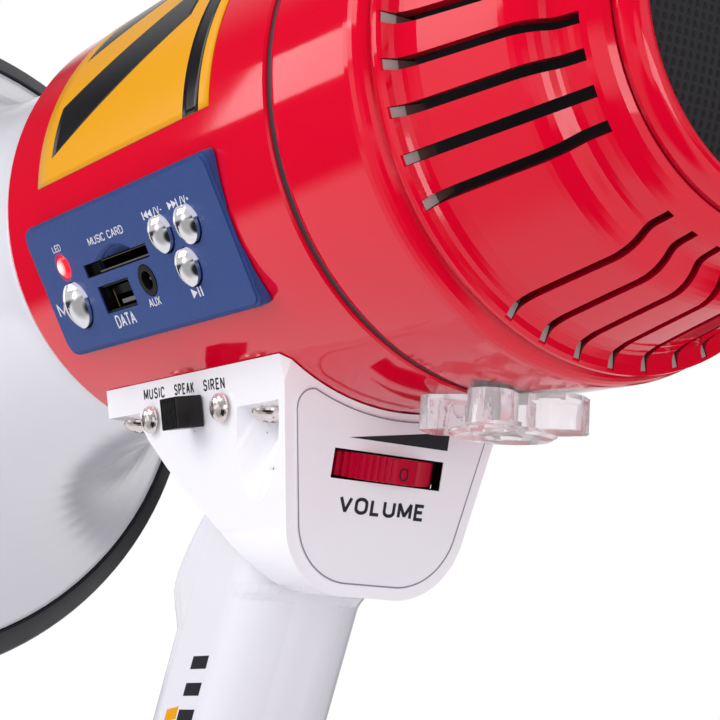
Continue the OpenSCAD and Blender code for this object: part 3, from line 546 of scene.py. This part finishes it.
nodeFinishes = {
    "redShell": ["front_shell", "lip_ring"],
    "slottedShell": ["rear_shell"],
    "whiteMoulding": ["handle_housing"],
    "gripShadedMoulding": ["grip"],
    "whiteBell": ["horn_bell", "sound_reflector", "throat_tube"],
    "whiteTrigger": ["trigger"],
    "bluePanel": ["panel_plate"],
    "labelFilm": ["volume_label"],
    "chrome": ["button_previous", "button_next", "button_play", "button_mode"],
    "nickel": ["saddle_screws", "switch_screws", "latch_screw"],
    "clearPlastic": ["latch_knob"],
    "blackKnob": ["switch_knob"],
    "wheelRed": ["volume_wheel"],
    "rubberRim": ["horn_rim"],
    "seamGrey": ["seam_ring"],
    "meshCloth": ["mic_mesh"],
    "foam": ["mic_foam"],
    "steel": ["driver_magnet", "mic_capsule", "battery_contacts", "trigger_pin", "trigger_spring"],
    "socketSteel": ["data_socket"],
    "paintedShadeBlack": ["card_socket"],
    "jackBlack": ["aux_jack"],
    "amberFilm": ["driver_dome"],
    "cellWrap": ["battery_cells"],
    "boardGreen": ["amp_board", "panel_board"],
    "darkPlastic": ["battery_tray", "amp_parts", "volume_control"],
    "blackPlastic": ["tact_switches", "switch_body", "trigger_switch"],
    "lampRed": ["status_lamp"],
}

for finish, names in nodeFinishes.items():
    for name in names:
        mesh = nodes[name].data
        mesh.materials.clear()
        mesh.materials.append(finishes[finish])
print("finishes built and put on the nodes")


# ---- small radii on the moulded and cut edges, and one even gloss over the turned forms

edges = {
    "radii": {"handle_housing": 0.9, "grip": 0.6, "panel_plate": 0.25, "switch_knob": 0.25, "latch_knob": 0.3,
              "volume_wheel": 0.12, "trigger": 0.4},
    "sharp": 32,  # degrees between faces from which an edge is rounded
    "weld": 0.004,  # millimetres
    "turned": ["horn_bell", "horn_rim", "lip_ring"],
    "evenGloss": 60,  # how much large faces lead the shading
}


def weldPiece(piece):
    weld = piece.modifiers.new("weld", "WELD")
    weld.merge_threshold = edges["weld"] * mm


def smoothTurned(name):
    piece = nodes[name]
    weldPiece(piece)
    even = piece.modifiers.new("evenGloss", "WEIGHTED_NORMAL")
    even.weight = edges["evenGloss"]


def softenEdges(name, radius):
    piece = nodes[name]
    weldPiece(piece)
    bevel = piece.modifiers.new("smallRadius", "BEVEL")
    bevel.width = radius * mm
    bevel.segments = 3
    bevel.limit_method = "ANGLE"
    bevel.angle_limit = math.radians(edges["sharp"])
    bevel.harden_normals = True


for name in edges["turned"]:
    smoothTurned(name)
for name, radius in edges["radii"].items():
    softenEdges(name, radius)
print("edges rounded")


# ---- what new pieces need

def addPiece(name, mesh, finish, body):
    piece = bpy.data.objects.new(name, mesh)
    bpy.context.scene.collection.objects.link(piece)
    mesh.materials.clear()
    mesh.materials.append(finishes[finish])
    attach(piece, body)
    return piece


def toMesh(builder, name):
    mesh = bpy.data.meshes.new(name)
    builder.to_mesh(mesh)
    builder.free()
    return mesh


barrel = {"radius": 48.0, "length": 103, "widening": 0.2}  # the front shell, wider towards the horn


def barrelRadius(x):
    return barrel["radius"] + barrel["widening"] * max(0.0, min(x / barrel["length"], 1.0))


def barrelPatch(corners, lift, thickness, steps=(24, 24)):
    # film on the barrel between four corners, each x and degrees round the barrel, anticlockwise from outside
    builder = bmesh.new()
    grids = []
    for height in (lift, lift + thickness):
        rows = []
        for i in range(steps[0] + 1):
            s = i / steps[0]
            row = []
            for j in range(steps[1] + 1):
                t = j / steps[1]
                weights = ((1 - s) * (1 - t), s * (1 - t), s * t, (1 - s) * t)
                x = sum(w * c[0] for w, c in zip(weights, corners))
                turn = math.radians(sum(w * c[1] for w, c in zip(weights, corners)))
                r = barrelRadius(x) + height
                row.append(builder.verts.new(fromSeam(x, r * math.cos(turn), r * math.sin(turn))))
            rows.append(row)
        grids.append(rows)
    under, over = grids
    for i in range(steps[0]):
        for j in range(steps[1]):
            builder.faces.new((over[i][j], over[i + 1][j], over[i + 1][j + 1], over[i][j + 1])).smooth = True
            builder.faces.new((under[i][j], under[i][j + 1], under[i + 1][j + 1], under[i + 1][j]))
    rim = [(i, 0) for i in range(steps[0])] + [(steps[0], j) for j in range(steps[1])]
    rim += [(i, steps[1]) for i in range(steps[0], 0, -1)] + [(0, j) for j in range(steps[1], 0, -1)]
    for (i, j), (k, l) in zip(rim, rim[1:] + rim[:1]):
        builder.faces.new((over[i][j], under[i][j], under[k][l], over[k][l]))
    bmesh.ops.recalc_face_normals(builder, faces=builder.faces)
    return toMesh(builder, "film")


def flatShape(polygons, plane, lift, thickness):  # ink or film on a flat face, in millimetres
    builder = bmesh.new()
    top = lift + thickness
    for outline in polygons:
        over = [builder.verts.new(plane @ Vector((x * mm, y * mm, top * mm))) for x, y in outline]
        under = [builder.verts.new(plane @ Vector((x * mm, y * mm, lift * mm))) for x, y in outline]
        builder.faces.new(over)
        builder.faces.new(list(reversed(under)))
        for i in range(len(outline)):
            j = (i + 1) % len(outline)
            builder.faces.new((over[i], under[i], under[j], over[j]))
    bmesh.ops.recalc_face_normals(builder, faces=builder.faces)
    return toMesh(builder, "shape")


inkLift = 0.015  # millimetres above the face
inkDepth = 0.04


def arc(x, y, across, tall, start, end, steps=8):  # part of an ellipse, in degrees
    turns = [math.radians(start + (end - start) * i / steps) for i in range(steps + 1)]
    return [(x + across * math.cos(turn), y + tall * math.sin(turn)) for turn in turns]


# every letter is 1 high: its width, then the lines of the pen
letters = {
    "A": (0.56, [[(0, 0), (0.28, 1), (0.56, 0)], [(0.1, 0.33), (0.46, 0.33)]]),
    "C": (0.52, [arc(0.26, 0.73, 0.26, 0.27, 12, 180) + arc(0.26, 0.27, 0.26, 0.27, 180, 348)]),
    "D": (0.52, [[(0, 0), (0, 1), (0.2, 1)] + arc(0.2, 0.68, 0.32, 0.32, 90, 0)
                 + arc(0.2, 0.32, 0.32, 0.32, 0, -90) + [(0, 0)]]),
    "E": (0.42, [[(0.42, 1), (0, 1), (0, 0), (0.42, 0)], [(0, 0.52), (0.37, 0.52)]]),
    "I": (0.0, [[(0, 0), (0, 1)]]),
    "K": (0.5, [[(0, 0), (0, 1)], [(0.48, 1), (0, 0.38)], [(0.16, 0.58), (0.5, 0)]]),
    "L": (0.4, [[(0, 1), (0, 0), (0.4, 0)]]),
    "M": (0.64, [[(0, 0), (0, 1), (0.32, 0.12), (0.64, 1), (0.64, 0)]]),
    "N": (0.52, [[(0, 0), (0, 1), (0.52, 0), (0.52, 1)]]),
    "O": (0.56, [arc(0.28, 0.7, 0.28, 0.3, 0, 180) + arc(0.28, 0.3, 0.28, 0.3, 180, 360) + [(0.56, 0.7)]]),
    "P": (0.48, [[(0, 0), (0, 1), (0.22, 1)] + arc(0.22, 0.73, 0.26, 0.27, 90, -90) + [(0, 0.46)]]),
    "R": (0.5, [[(0, 0), (0, 1), (0.22, 1)] + arc(0.22, 0.74, 0.26, 0.26, 90, -90) + [(0, 0.48)],
                [(0.24, 0.48), (0.5, 0)]]),
    "S": (0.5, [arc(0.25, 0.75, 0.23, 0.25, 15, 250, 12) + arc(0.25, 0.26, 0.25, 0.26, 70, -165, 12)]),
    "T": (0.48, [[(0, 1), (0.48, 1)], [(0.24, 1), (0.24, 0)]]),
    "U": (0.52, [[(0, 1)] + arc(0.26, 0.28, 0.26, 0.28, 180, 360) + [(0.52, 1)]]),
    "V": (0.56, [[(0, 1), (0.28, 0), (0.56, 1)]]),
    "X": (0.54, [[(0, 0), (0.54, 1)], [(0, 1), (0.54, 0)]]),
    "0": (0.46, [arc(0.23, 0.72, 0.23, 0.28, 0, 180) + arc(0.23, 0.28, 0.23, 0.28, 180, 360)
                 + [(0.46, 0.72)]]),
    "/": (0.32, [[(0, -0.08), (0.32, 1.08)]]),
    "-": (0.24, [[(0, 0.45), (0.24, 0.45)]]),
    "+": (0.36, [[(0, 0.48), (0.36, 0.48)], [(0.18, 0.28), (0.18, 0.68)]]),
    " ": (0.2, []),
}


def penPlanks(points, pen):  # one four-sided piece of ink for every stretch of a pen line
    points = [Vector(point) for point in points]
    closed = (points[0] - points[-1]).length < 0.01
    moved = [point for before, point in zip(points, points[1:]) if (point - before).length > 0.001]
    points = points[:1] + moved
    steps = [(after - before).normalized() for before, after in zip(points, points[1:])]
    planks = []
    for i, step in enumerate(steps):
        ends = []
        for point, other, way in ((points[i], i - 1, -1), (points[i + 1], i + 1, 1)):
            joined = closed or 0 <= other < len(steps)
            turn = step.angle(steps[other % len(steps)]) if joined else 0.0
            past = pen / 2 * math.tan(turn / 2) if turn < 1.8 else pen * 0.12  # a sharp corner stays blunt
            ends.append(point + step * way * past)
        across = Vector((-step.y, step.x)) * pen / 2
        planks.append((ends[0] + across, ends[0] - across, ends[1] - across, ends[1] + across))
    return planks


def wordMesh(text, plane, centre, width, height, pen=0.12, gap=0.2, tilt=0.0):
    # a word drawn with a flat pen and fitted into a box of millimetres on a flat face
    strokes, at = [], 0.0
    for letter in text:
        advance, lines = letters[letter]
        strokes += [[(x + at, y) for x, y in line] for line in lines]
        at += advance + gap
    long = at - gap
    inner = (width - pen * height) / long, height * (1 - pen)
    spot = Matrix.Translation(Vector((centre[0], centre[1], 0)) * mm)
    place = plane @ spot @ Matrix.Rotation(math.radians(tilt), 4, "Z")
    planks = []
    for line in strokes:
        drawn = [((x - long / 2) * inner[0], (y - 0.5) * inner[1]) for x, y in line]
        planks += penPlanks(drawn, pen * height)
    return flatShape(planks, place, inkLift, inkDepth)


# ---- hazard film round the top of the barrel: a border at the rear and slanted bars

hazardFilm = {
    "rear": 18.0,
    "front": 88.0,
    "lowEdge": -4.7,  # degrees round the barrel; the far side ends at the mirrored angle
    "lift": 0.02,
    "thickness": 0.1,
    "printThickness": 0.03,
    "border": (21.5, 27.0),  # along the barrel, as the bars
    "bars": (33.0, 82.0),
    "barGap": 6.0,  # degrees from the low edge to the first bar's lowest corner
    "barWidth": 13.0,  # degrees, as the next two
    "barStep": 27.0,
    "barSlant": -20.0,
}


def buildHazardFilm():
    low, far = hazardFilm["lowEdge"], 180 - hazardFilm["lowEdge"]
    lift, thickness, printed = (hazardFilm[name] for name in ("lift", "thickness", "printThickness"))
    rear, front = hazardFilm["rear"], hazardFilm["front"]
    corners = [(rear, low), (front, low), (front, far), (rear, far)]
    film = barrelPatch(corners, lift, thickness, (20, 120))
    addPiece("hazardFilm", film, "stickerYellow", "megaphone")
    onFilm = lift + thickness
    rear, front = hazardFilm["border"]
    corners = [(rear, low), (front, low), (front, far), (rear, far)]
    band = barrelPatch(corners, onFilm, printed, (4, 120))
    addPiece("hazardBorder", band, "stickerBlack", "megaphone")
    rear, front = hazardFilm["bars"]
    slant = hazardFilm["barSlant"]
    start = low + hazardFilm["barGap"] - slant
    count = int((far - start - hazardFilm["barWidth"]) // hazardFilm["barStep"]) + 1
    for i in range(count):
        turn = start + i * hazardFilm["barStep"]
        end = turn + hazardFilm["barWidth"]
        corners = [(rear, turn), (front, turn + slant), (front, end + slant), (rear, end)]
        addPiece("hazardBar%d" % (i + 1), barrelPatch(corners, onFilm, printed), "stickerBlack", "megaphone")


buildHazardFilm()
print("hazard film laid on the barrel")


# ---- white print on the blue panel

panelWords = {  # text: centre x along the barrel, height on the panel, width, letter height
    "LED": (79.8, 7.9, 3.7, 1.4),
    "MUSIC CARD": (58.9, 6.75, 14.6, 1.6),
    "AUX": (50.4, -7.7, 4.6, 1.7),
    "DATA": (63.6, -9.3, 8.0, 2.6),
    "M": (87.4, -3.8, 4.2, 3.0),
}


def triangle(x, y, width, height):  # points to the right, or to the left with a width below zero
    return [(x, y + height / 2), (x, y - height / 2), (x + width, y)]


def bar(x, y, width, height):  # from its left end, at its middle height
    low, high = y - height / 2, y + height / 2
    return [(x, low), (x + width, low), (x + width, high), (x, high)]


skipRow = {"height": 7.4, "tall": 1.5, "wide": 1.5, "barWide": 0.35}  # the marks over the two upper buttons

panelMarks = {  # each shape: kind, x along the barrel, height on the panel, width, height
    "Previous": [(bar, 43.0, skipRow["height"], skipRow["barWide"], skipRow["tall"]),
                 (triangle, 41.1, skipRow["height"], -skipRow["wide"], skipRow["tall"]),
                 (triangle, 39.6, skipRow["height"], -skipRow["wide"], skipRow["tall"])],
    "Next": [(triangle, 33.4, skipRow["height"], skipRow["wide"], skipRow["tall"]),
             (triangle, 31.9, skipRow["height"], skipRow["wide"], skipRow["tall"]),
             (bar, 30.4, skipRow["height"], skipRow["barWide"], skipRow["tall"])],
    "Play": [(triangle, 36.6, -8.3, 1.9, 1.8), (bar, 34.4, -8.3, 0.42, 1.8), (bar, 33.4, -8.3, 0.42, 1.8)],
}

volumeMarks = {  # text, centre x along the barrel, width, letter height
    "Lower": ("/V-", 37.4, 3.2, 1.6),
    "Louder": ("/V+", 27.6, 3.2, 1.6),
}

panelPens = {"words": 0.15, "volume": 0.14}  # width of the pen for a letter 1 high


def buildPanelPrint():
    plane = panelPlane()
    for text, (x, y, width, height) in panelWords.items():
        mesh = wordMesh(text, plane, (-x, y), width, height, panelPens["words"])
        addPiece("panelWord_" + text.replace(" ", ""), mesh, "inkWhite", "megaphone")
    for name, shapes in panelMarks.items():
        outlines = [kind(-x, y, width, height) for kind, x, y, width, height in shapes]
        mesh = flatShape(outlines, plane, inkLift, inkDepth)
        addPiece("panelMark_" + name, mesh, "inkWhite", "megaphone")
    for name, (text, x, width, height) in volumeMarks.items():
        mesh = wordMesh(text, plane, (-x, skipRow["height"]), width, height, panelPens["volume"])
        addPiece("panelWord_" + name, mesh, "inkWhite", "megaphone")


buildPanelPrint()
print("panel printed")


# ---- inside the panel's openings, and at the front ends of the shell's slots

socketParts = {  # finish, slot, depth below the face, thickness, then left end, middle height, width, height
    # the black floors and walls below are sheets of painted shade inside the openings
    "cardFloor": ("paintedShadeBlack", "black_plastic", 1.0, 0.1, (71.3, 1.6, 4.9, 2.5)),
    "cardLowWall": ("paintedShadeBlack", "black_plastic", 1.0, 0.95, (71.3, 0.42, 25.2, 0.1)),
    "cardEndWall": ("paintedShadeBlack", "black_plastic", 1.0, 0.95, (71.4, 1.6, 0.1, 2.5)),
    "cardContact": ("contactGold", "steel", 0.8, 0.08, (65.4, 2.62, 18.6, 0.16)),
    "cardStrip": ("socketStrip", "steel", 0.8, 0.08, (67.2, 0.75, 20.0, 0.28)),
    "dataEndWall": ("paintedShadeBlack", "black_plastic", 1.0, 0.95, (69.2, -4.5, 0.1, 4.9)),
    "dataTongue": ("socketStrip", "steel", 0.8, 0.08, (63.4, -5.9, 6.0, 0.8)),
    "dataShade": ("contactGold", "steel", 0.8, 0.08, (65.4, -5.0, 0.28, 3.4)),
    "jackPin": ("socketStrip", "steel", 0.8, 0.08, (50.3, -3.45, 0.5, 0.5)),
}

slotEnds = {
    "place": -28.56,  # along the barrel
    "thin": 0.05,
    "bands": (("paleCollar", 43.4, 46.1), ("collarPaintedShade", 39.9, 43.4)),  # finish, distances from the axis; the inner band is painted shade on the pale collar
    "step": 8.7,  # degrees from slot to slot
    "sides": (9, -2.5, 1.5),  # slots in a group, degrees from level, width
    "bases": (7, 0.0, 1.1),  # the same for the groups at the top and at the bottom
}


def buildSocketParts():
    plane = panelPlane()
    for name, (finish, slotName, depth, thickness, (x, y, width, height)) in socketParts.items():
        mesh = flatShape([bar(-x, y, width, height)], plane, -depth, thickness)
        addPiece(name, mesh, finish, "megaphone")


def slotTurns(group):  # degrees of a group's slots from the group's middle
    count, offset, wide = slotEnds[group]
    return [(slotEnds["step"] * (i - count // 2) + offset, wide) for i in range(count)]


def buildSlotEnds():
    turns = [(turn, wide) for side, wide in slotTurns("sides") for turn in (side, 180 - side)]
    turns += [(quarter + turn, wide) for quarter in (90, 270) for turn, wide in slotTurns("bases")]
    middle = Matrix.Translation(fromSeam(slotEnds["place"], 0, 0))
    for finish, low, high in slotEnds["bands"]:
        builder = bmesh.new()
        for turn, wide in turns:
            place = middle @ Matrix.Rotation(math.radians(turn), 4, "X")
            place = place @ Matrix.Translation((0, (low + high) / 2 * mm, 0))
            size = Matrix.Diagonal((slotEnds["thin"] * mm, (high - low) * mm, wide * mm, 1))
            bmesh.ops.create_cube(builder, size=1, matrix=place @ size)
        addPiece("slotEnds_" + finish, toMesh(builder, "slotEnds"), finish, "megaphone")


buildSocketParts()
buildSlotEnds()
print("sockets and slot ends filled in")


# ---- black print on the housing, the label and the wheel

switchPrint = {  # each word: centre along the barrel, drop below the upper edge, width
    "words": {"MUSIC": (75.4, 2.85, 8.8), "SPEAK": (63.0, 3.1, 7.9), "SIREN": (51.4, 3.4, 8.0)},
    "height": 2.2,
    "pen": 0.155,
    "gap": 0.36,
    "tilt": -1.4,
}

volumePrint = {
    "labelFace": 0.33,  # above the housing
    "word": (0.0, -9.7, 18.9, 3.1),  # centre on the rear face, width and height
    "pen": 0.2,
    "gap": 0.3,
    "wedge": [(-9.5, 2.26), (12.5, 2.3), (12.5, 5.7)],
    "outline": (0.28, 0.335, 0.03),  # width, lift and thickness of the grey line of painted shade along the label's edge
    "digitTurn": 6.5,  # degrees round the wheel
    "digit": (2.0, 2.4),
    "digitDrop": 0.4,
}

# black sheets of painted shade on the walls of the wheel's window
windowShadeLiner = {
    "window": (-12.08, 12.08, -5.28, 0.08),  # left, right, low and high edge on the rear face
    "thin": 0.14,
    "top": 0.3,
    "sideDepth": 5.0,
    "endDepth": 2.2,
    "rise": 0.2,
}


def buildHandlePrint():
    side = sidePlane()
    height, pen, gap, tilt = (switchPrint[name] for name in ("height", "pen", "gap", "tilt"))
    for text, (x, drop, width) in switchPrint["words"].items():
        mesh = wordMesh(text, side, (-x, -drop), width, height, pen, gap, tilt)
        addPiece("switchWord_" + text, mesh, "inkBlack", "megaphone")
    onLabel = rearPlane() @ Matrix.Translation((0, 0, volumePrint["labelFace"] * mm))
    x, y, width, height = volumePrint["word"]
    word = wordMesh("VOLUME", onLabel, (x, y), width, height, volumePrint["pen"], volumePrint["gap"])
    addPiece("volumeWord", word, "inkBlack", "megaphone")
    wedge = flatShape([volumePrint["wedge"]], onLabel, inkLift, inkDepth)
    addPiece("volumeWedge", wedge, "inkBlack", "megaphone")


def buildWindowShadeLiner():  # black sheets of painted shade on the walls of the wheel's window, clear of the wheel
    plane = rearPlane()
    left, right, low, high = windowShadeLiner["window"]
    thin, top = windowShadeLiner["thin"], windowShadeLiner["top"]
    wide, tall, middle = right - left, high - low, (low + high) / 2
    sides = [bar(left, high - top / 2, wide, top), bar(left, low + thin / 2, wide, thin)]
    ends = [bar(left, middle, thin, tall), bar(right - thin, middle, thin, tall)]
    depths = windowShadeLiner["sideDepth"], windowShadeLiner["endDepth"]
    for name, shapes, depth in zip(("Sides", "Ends"), (sides, ends), depths):
        mesh = flatShape(shapes, plane, -depth, depth + windowShadeLiner["rise"])
        addPiece("windowShadeLiner" + name, mesh, "paintedShadeBlack", "megaphone")


def closedRibbon(points, plane, width, lift, thickness):  # a thin line along a closed outline, inside it
    builder = bmesh.new()
    count = len(points)
    rows = []
    for i in range(count):
        before, here, after = (Vector(points[j % count]) for j in (i - 1, i, i + 1))
        along = ((here - before).normalized() + (after - here).normalized()).normalized()
        inwards = Vector((-along.y, along.x)) * width
        rows.append([plane @ Vector((p.x * mm, p.y * mm, z * mm)) for p in (here, here + inwards)
                     for z in (lift, lift + thickness)])
    corners = [[builder.verts.new(place) for place in row] for row in rows]
    for i in range(count):
        one, two = corners[i], corners[(i + 1) % count]
        for low, high in ((0, 1), (1, 3), (3, 2), (2, 0)):
            builder.faces.new((one[low], one[high], two[high], two[low]))
    bmesh.ops.recalc_face_normals(builder, faces=builder.faces)
    return toMesh(builder, "line")


def faceOutline(name, plane):  # the widest rim of a node's flat outer face, anticlockwise, in millimetres
    piece = nodes[name]
    back = plane.inverted() @ piece.matrix_world
    builder = bmesh.new()
    builder.from_mesh(piece.data)
    bmesh.ops.remove_doubles(builder, verts=builder.verts, dist=0.002 * mm)
    builder.verts.index_update()
    builder.transform(back)
    top = max(vert.co.z for vert in builder.verts)
    flat = [face for face in builder.faces if all(abs(vert.co.z - top) < 0.01 * mm for vert in face.verts)]
    links = {}
    for face in flat:
        for loop in face.loops:
            if sum(other in flat for other in loop.edge.link_faces) == 1:
                links[loop.vert.index] = loop.link_loop_next.vert.index
    spots = {vert.index: (vert.co.x / mm, vert.co.y / mm) for vert in builder.verts}
    builder.free()
    loops = []
    while links:
        start = here = next(iter(links))
        rim = []
        while here in links:
            rim.append(spots[here])
            here = links.pop(here)
        loops.append(rim)
    outline = max(loops, key=lambda rim: max(x for x, y in rim) - min(x for x, y in rim))
    around = sum(x * v - u * y for (x, y), (u, v) in zip(outline, outline[1:] + outline[:1]))
    return outline if around > 0 else outline[::-1]


# a grey line of painted shade along the edge of the label
def buildLabelEdgeShade():
    plane = rearPlane()
    line = closedRibbon(faceOutline("volume_label", plane), plane, *volumePrint["outline"])
    addPiece("labelOutline", line, "labelEdgeShade", "megaphone")


gripBars = {  # plain slanted marks down the grip's left face: left and right end, and top
    "bars": [(0.2, 5.7, -12.6), (0.2, 5.7, -18.2), (0.2, 5.7, -23.8), (-4.4, -0.4, -26.0)],
    "wide": 2.7,
    "slant": 2.6,
    "yellow": 3,  # which of them is yellow
}


def buildGripBars():
    plane = gripPlane()
    slant = gripBars["slant"]
    for i, (left, right, top) in enumerate(gripBars["bars"]):
        low = top - gripBars["wide"]
        outline = [(left, top - slant), (left, low - slant), (right, low), (right, top)]
        mesh = flatShape([outline], plane, inkLift, inkDepth)
        yellow = i == gripBars["yellow"]
        addPiece("gripBar%d" % (i + 1), mesh, "stickerYellow" if yellow else "inkBlack", "megaphone")


def buildWheelDigit():
    low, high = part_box("volume_wheel")
    hub = (low + high) / 2
    radius = (high.y - low.y) / 2 / mm
    lean = math.radians(places["rearLean"])
    turn = math.radians(volumePrint["digitTurn"])
    up = Vector((-math.sin(lean), 0, math.cos(lean)))
    out = Vector((-math.cos(lean), 0, -math.sin(lean))) * math.cos(turn) + Vector((0, -1, 0)) * math.sin(turn)
    right = up.cross(out)
    plane = facePlane(hub + out * radius * mm, right, up)
    width, height = volumePrint["digit"]
    digit = wordMesh("0", plane, (0, -volumePrint["digitDrop"]), width, height)
    addPiece("volumeDigit", digit, "inkBlack", "volume_wheel")


buildHandlePrint()
buildWindowShadeLiner()
buildLabelEdgeShade()
buildGripBars()
buildWheelDigit()
print("housing, grip and wheel printed")


# ---- floor, light and camera

studio = {
    "floorColour": "f4f4f6",
    "floorRadius": 0.75,
    "ambient": (0.42, 1.0),  # strength of the white surroundings on the part: far side, near side
    "nearSide": (102, -24, 50, 142),  # its direction, and how far round it reaches
    "roomLevel": 0.05,  # what gloss shows between the table's edge and the ceiling
    "ceilingLevel": 0.7,
    "ceilingEdge": (26, 44),
    "tableLevel": 0.9,
    "tableEdge": (-17, -12),  # degrees from level where the table is full and where it ends
    "cards": {  # degrees round from the horn's axis, degrees up, full reach, outer reach, level
        "tableSide": (72, -32, 16, 40, 0.45),
        "underBack": (130, -46, 22, 38, 0.02),
        "farGap": (-105, -18, 22, 38, 0.04),
        "backCard": (132, -12, 10, 19, 0.95),
        "tailCard": (176, 0, 13, 24, 0.9),
        "farCard": (-166, 12, 9, 20, 0.9),
        "sideCard": (68, -4, 6, 13, 0.9),
        "rightCard": (-38, 18, 16, 30, 0.85),
    },
    "lamps": {  # degrees round from the horn's axis, degrees up, metres away, width, height, brightness
        "keyLamp": (80, 30, 1.1, 0.6, 0.5, 2.9),
        "frontLamp": (52.5, 13.5, 1.0, 0.68, 0.21, 2.6),
        "rearLamp": (-140, 32, 1.2, 0.8, 0.7, 0.5),
        "lowLamp": (164, -10, 0.9, 0.5, 0.3, 3.6),
    },
    "lens": 79.63,
    "cameraPlace": (-206.55, 165.74, -89.74),
    "cameraRight": (-0.5654, -0.8227, 0.0584),
    "cameraUp": (-0.1115, 0.1465, 0.9829),
}


def buildFloor():
    builder = bmesh.new()
    bmesh.ops.create_circle(builder, cap_ends=True, segments=96, radius=studio["floorRadius"])
    mesh = toMesh(builder, "floor")
    floor = bpy.data.objects.new("floor", mesh)
    floor.location = (0, 0, cadBounds[0][2])
    bpy.context.scene.collection.objects.link(floor)
    material = makeFinish("floorPaper", colour=studio["floorColour"], roughness=0.9, mottle=0.0)
    tree = material.node_tree
    shader = tree.nodes["Principled BSDF"]
    path = tree.nodes.new("ShaderNodeLightPath")
    plain = shader.inputs["Base Color"].links[0].from_socket
    tree.links.new(mixColours(tree, path.outputs["Is Camera Ray"], plain, (1.0, 1.0, 1.0, 1.0)),
                   shader.inputs["Base Color"])
    tree.links.new(mathNode(tree, "SUBTRACT", 1.0, path.outputs["Is Glossy Ray"]), shader.inputs["Alpha"])
    mesh.materials.append(material)


def direction(turn, rise):  # in degrees: round from the horn's axis, and up
    turn, rise = math.radians(turn), math.radians(rise)
    return Vector((math.cos(turn) * math.cos(rise), math.sin(turn) * math.cos(rise), math.sin(rise)))


def directionPatch(tree, turn, rise, inner, outer):  # 1 within inner degrees of a direction, 0 beyond outer
    along = tree.nodes.new("ShaderNodeVectorMath")
    along.operation = "DOT_PRODUCT"
    tree.links.new(tree.nodes.new("ShaderNodeTexCoord").outputs["Generated"], along.inputs[0])
    along.inputs[1].default_value = direction(turn, rise)
    start, full = (math.cos(math.radians(angle)) for angle in (outer, inner))
    return softStep(tree, along.outputs["Value"], start, full)


def greyLevel(level):
    return (level, level, level * 1.01, 1.0)


def buildWorld():  # white air; gloss shows a white table below, a dim room above, cards and dark corners
    world = bpy.data.worlds.new("studioAir")
    bpy.context.scene.world = world
    world.use_nodes = True
    tree = world.node_tree
    background = tree.nodes["Background"]
    split = tree.nodes.new("ShaderNodeSeparateXYZ")
    tree.links.new(tree.nodes.new("ShaderNodeTexCoord").outputs["Generated"], split.inputs[0])
    full, fade = (math.sin(math.radians(angle)) for angle in studio["tableEdge"])
    glossy = greyLevel(studio["roomLevel"])
    low, high = (math.sin(math.radians(angle)) for angle in studio["ceilingEdge"])
    ceiling = softStep(tree, split.outputs[2], low, high)
    glossy = mixColours(tree, ceiling, glossy, greyLevel(studio["ceilingLevel"]))
    table = softStep(tree, split.outputs[2], fade, full)
    glossy = mixColours(tree, table, glossy, greyLevel(studio["tableLevel"]))
    for turn, rise, inner, outer, level in studio["cards"].values():
        patch = directionPatch(tree, turn, rise, inner, outer)
        glossy = mixColours(tree, patch, glossy, greyLevel(level))
    path = tree.nodes.new("ShaderNodeLightPath")
    shown = mathNode(tree, "MAXIMUM", path.outputs["Is Camera Ray"], path.outputs["Is Transmission Ray"])
    dim, full = studio["ambient"]
    lit = mixColours(tree, directionPatch(tree, *studio["nearSide"]), greyLevel(dim), greyLevel(full))
    lit = mixColours(tree, shown, lit, (1.0, 1.0, 1.0, 1.0))
    tree.links.new(mixColours(tree, path.outputs["Is Glossy Ray"], lit, glossy), background.inputs["Color"])
    background.inputs["Strength"].default_value = 1.0


def buildLamps():
    for name, (turn, rise, distance, width, height, brightness) in studio["lamps"].items():
        light = bpy.data.lights.new(name, "AREA")
        light.shape = "RECTANGLE"
        light.size = width
        light.size_y = height
        light.energy = brightness * math.pi * width * height
        away = direction(turn, rise)
        lamp = bpy.data.objects.new(name, light)
        lamp.location = seamMiddle + away * distance
        lamp.rotation_euler = away.to_track_quat("Z", "Y").to_euler()
        bpy.context.scene.collection.objects.link(lamp)


def buildCamera():
    data = bpy.data.cameras.new("camera")
    data.lens = studio["lens"]
    data.sensor_width = 36
    camera = bpy.data.objects.new("camera", data)
    place = fromSeam(*studio["cameraPlace"])
    camera.matrix_world = facePlane(place, studio["cameraRight"], studio["cameraUp"])
    bpy.context.scene.collection.objects.link(camera)
    bpy.context.scene.camera = camera


buildFloor()
buildWorld()
buildLamps()
buildCamera()
bpy.context.scene.view_settings.view_transform = "Standard"
print("floor, lamps and camera set")
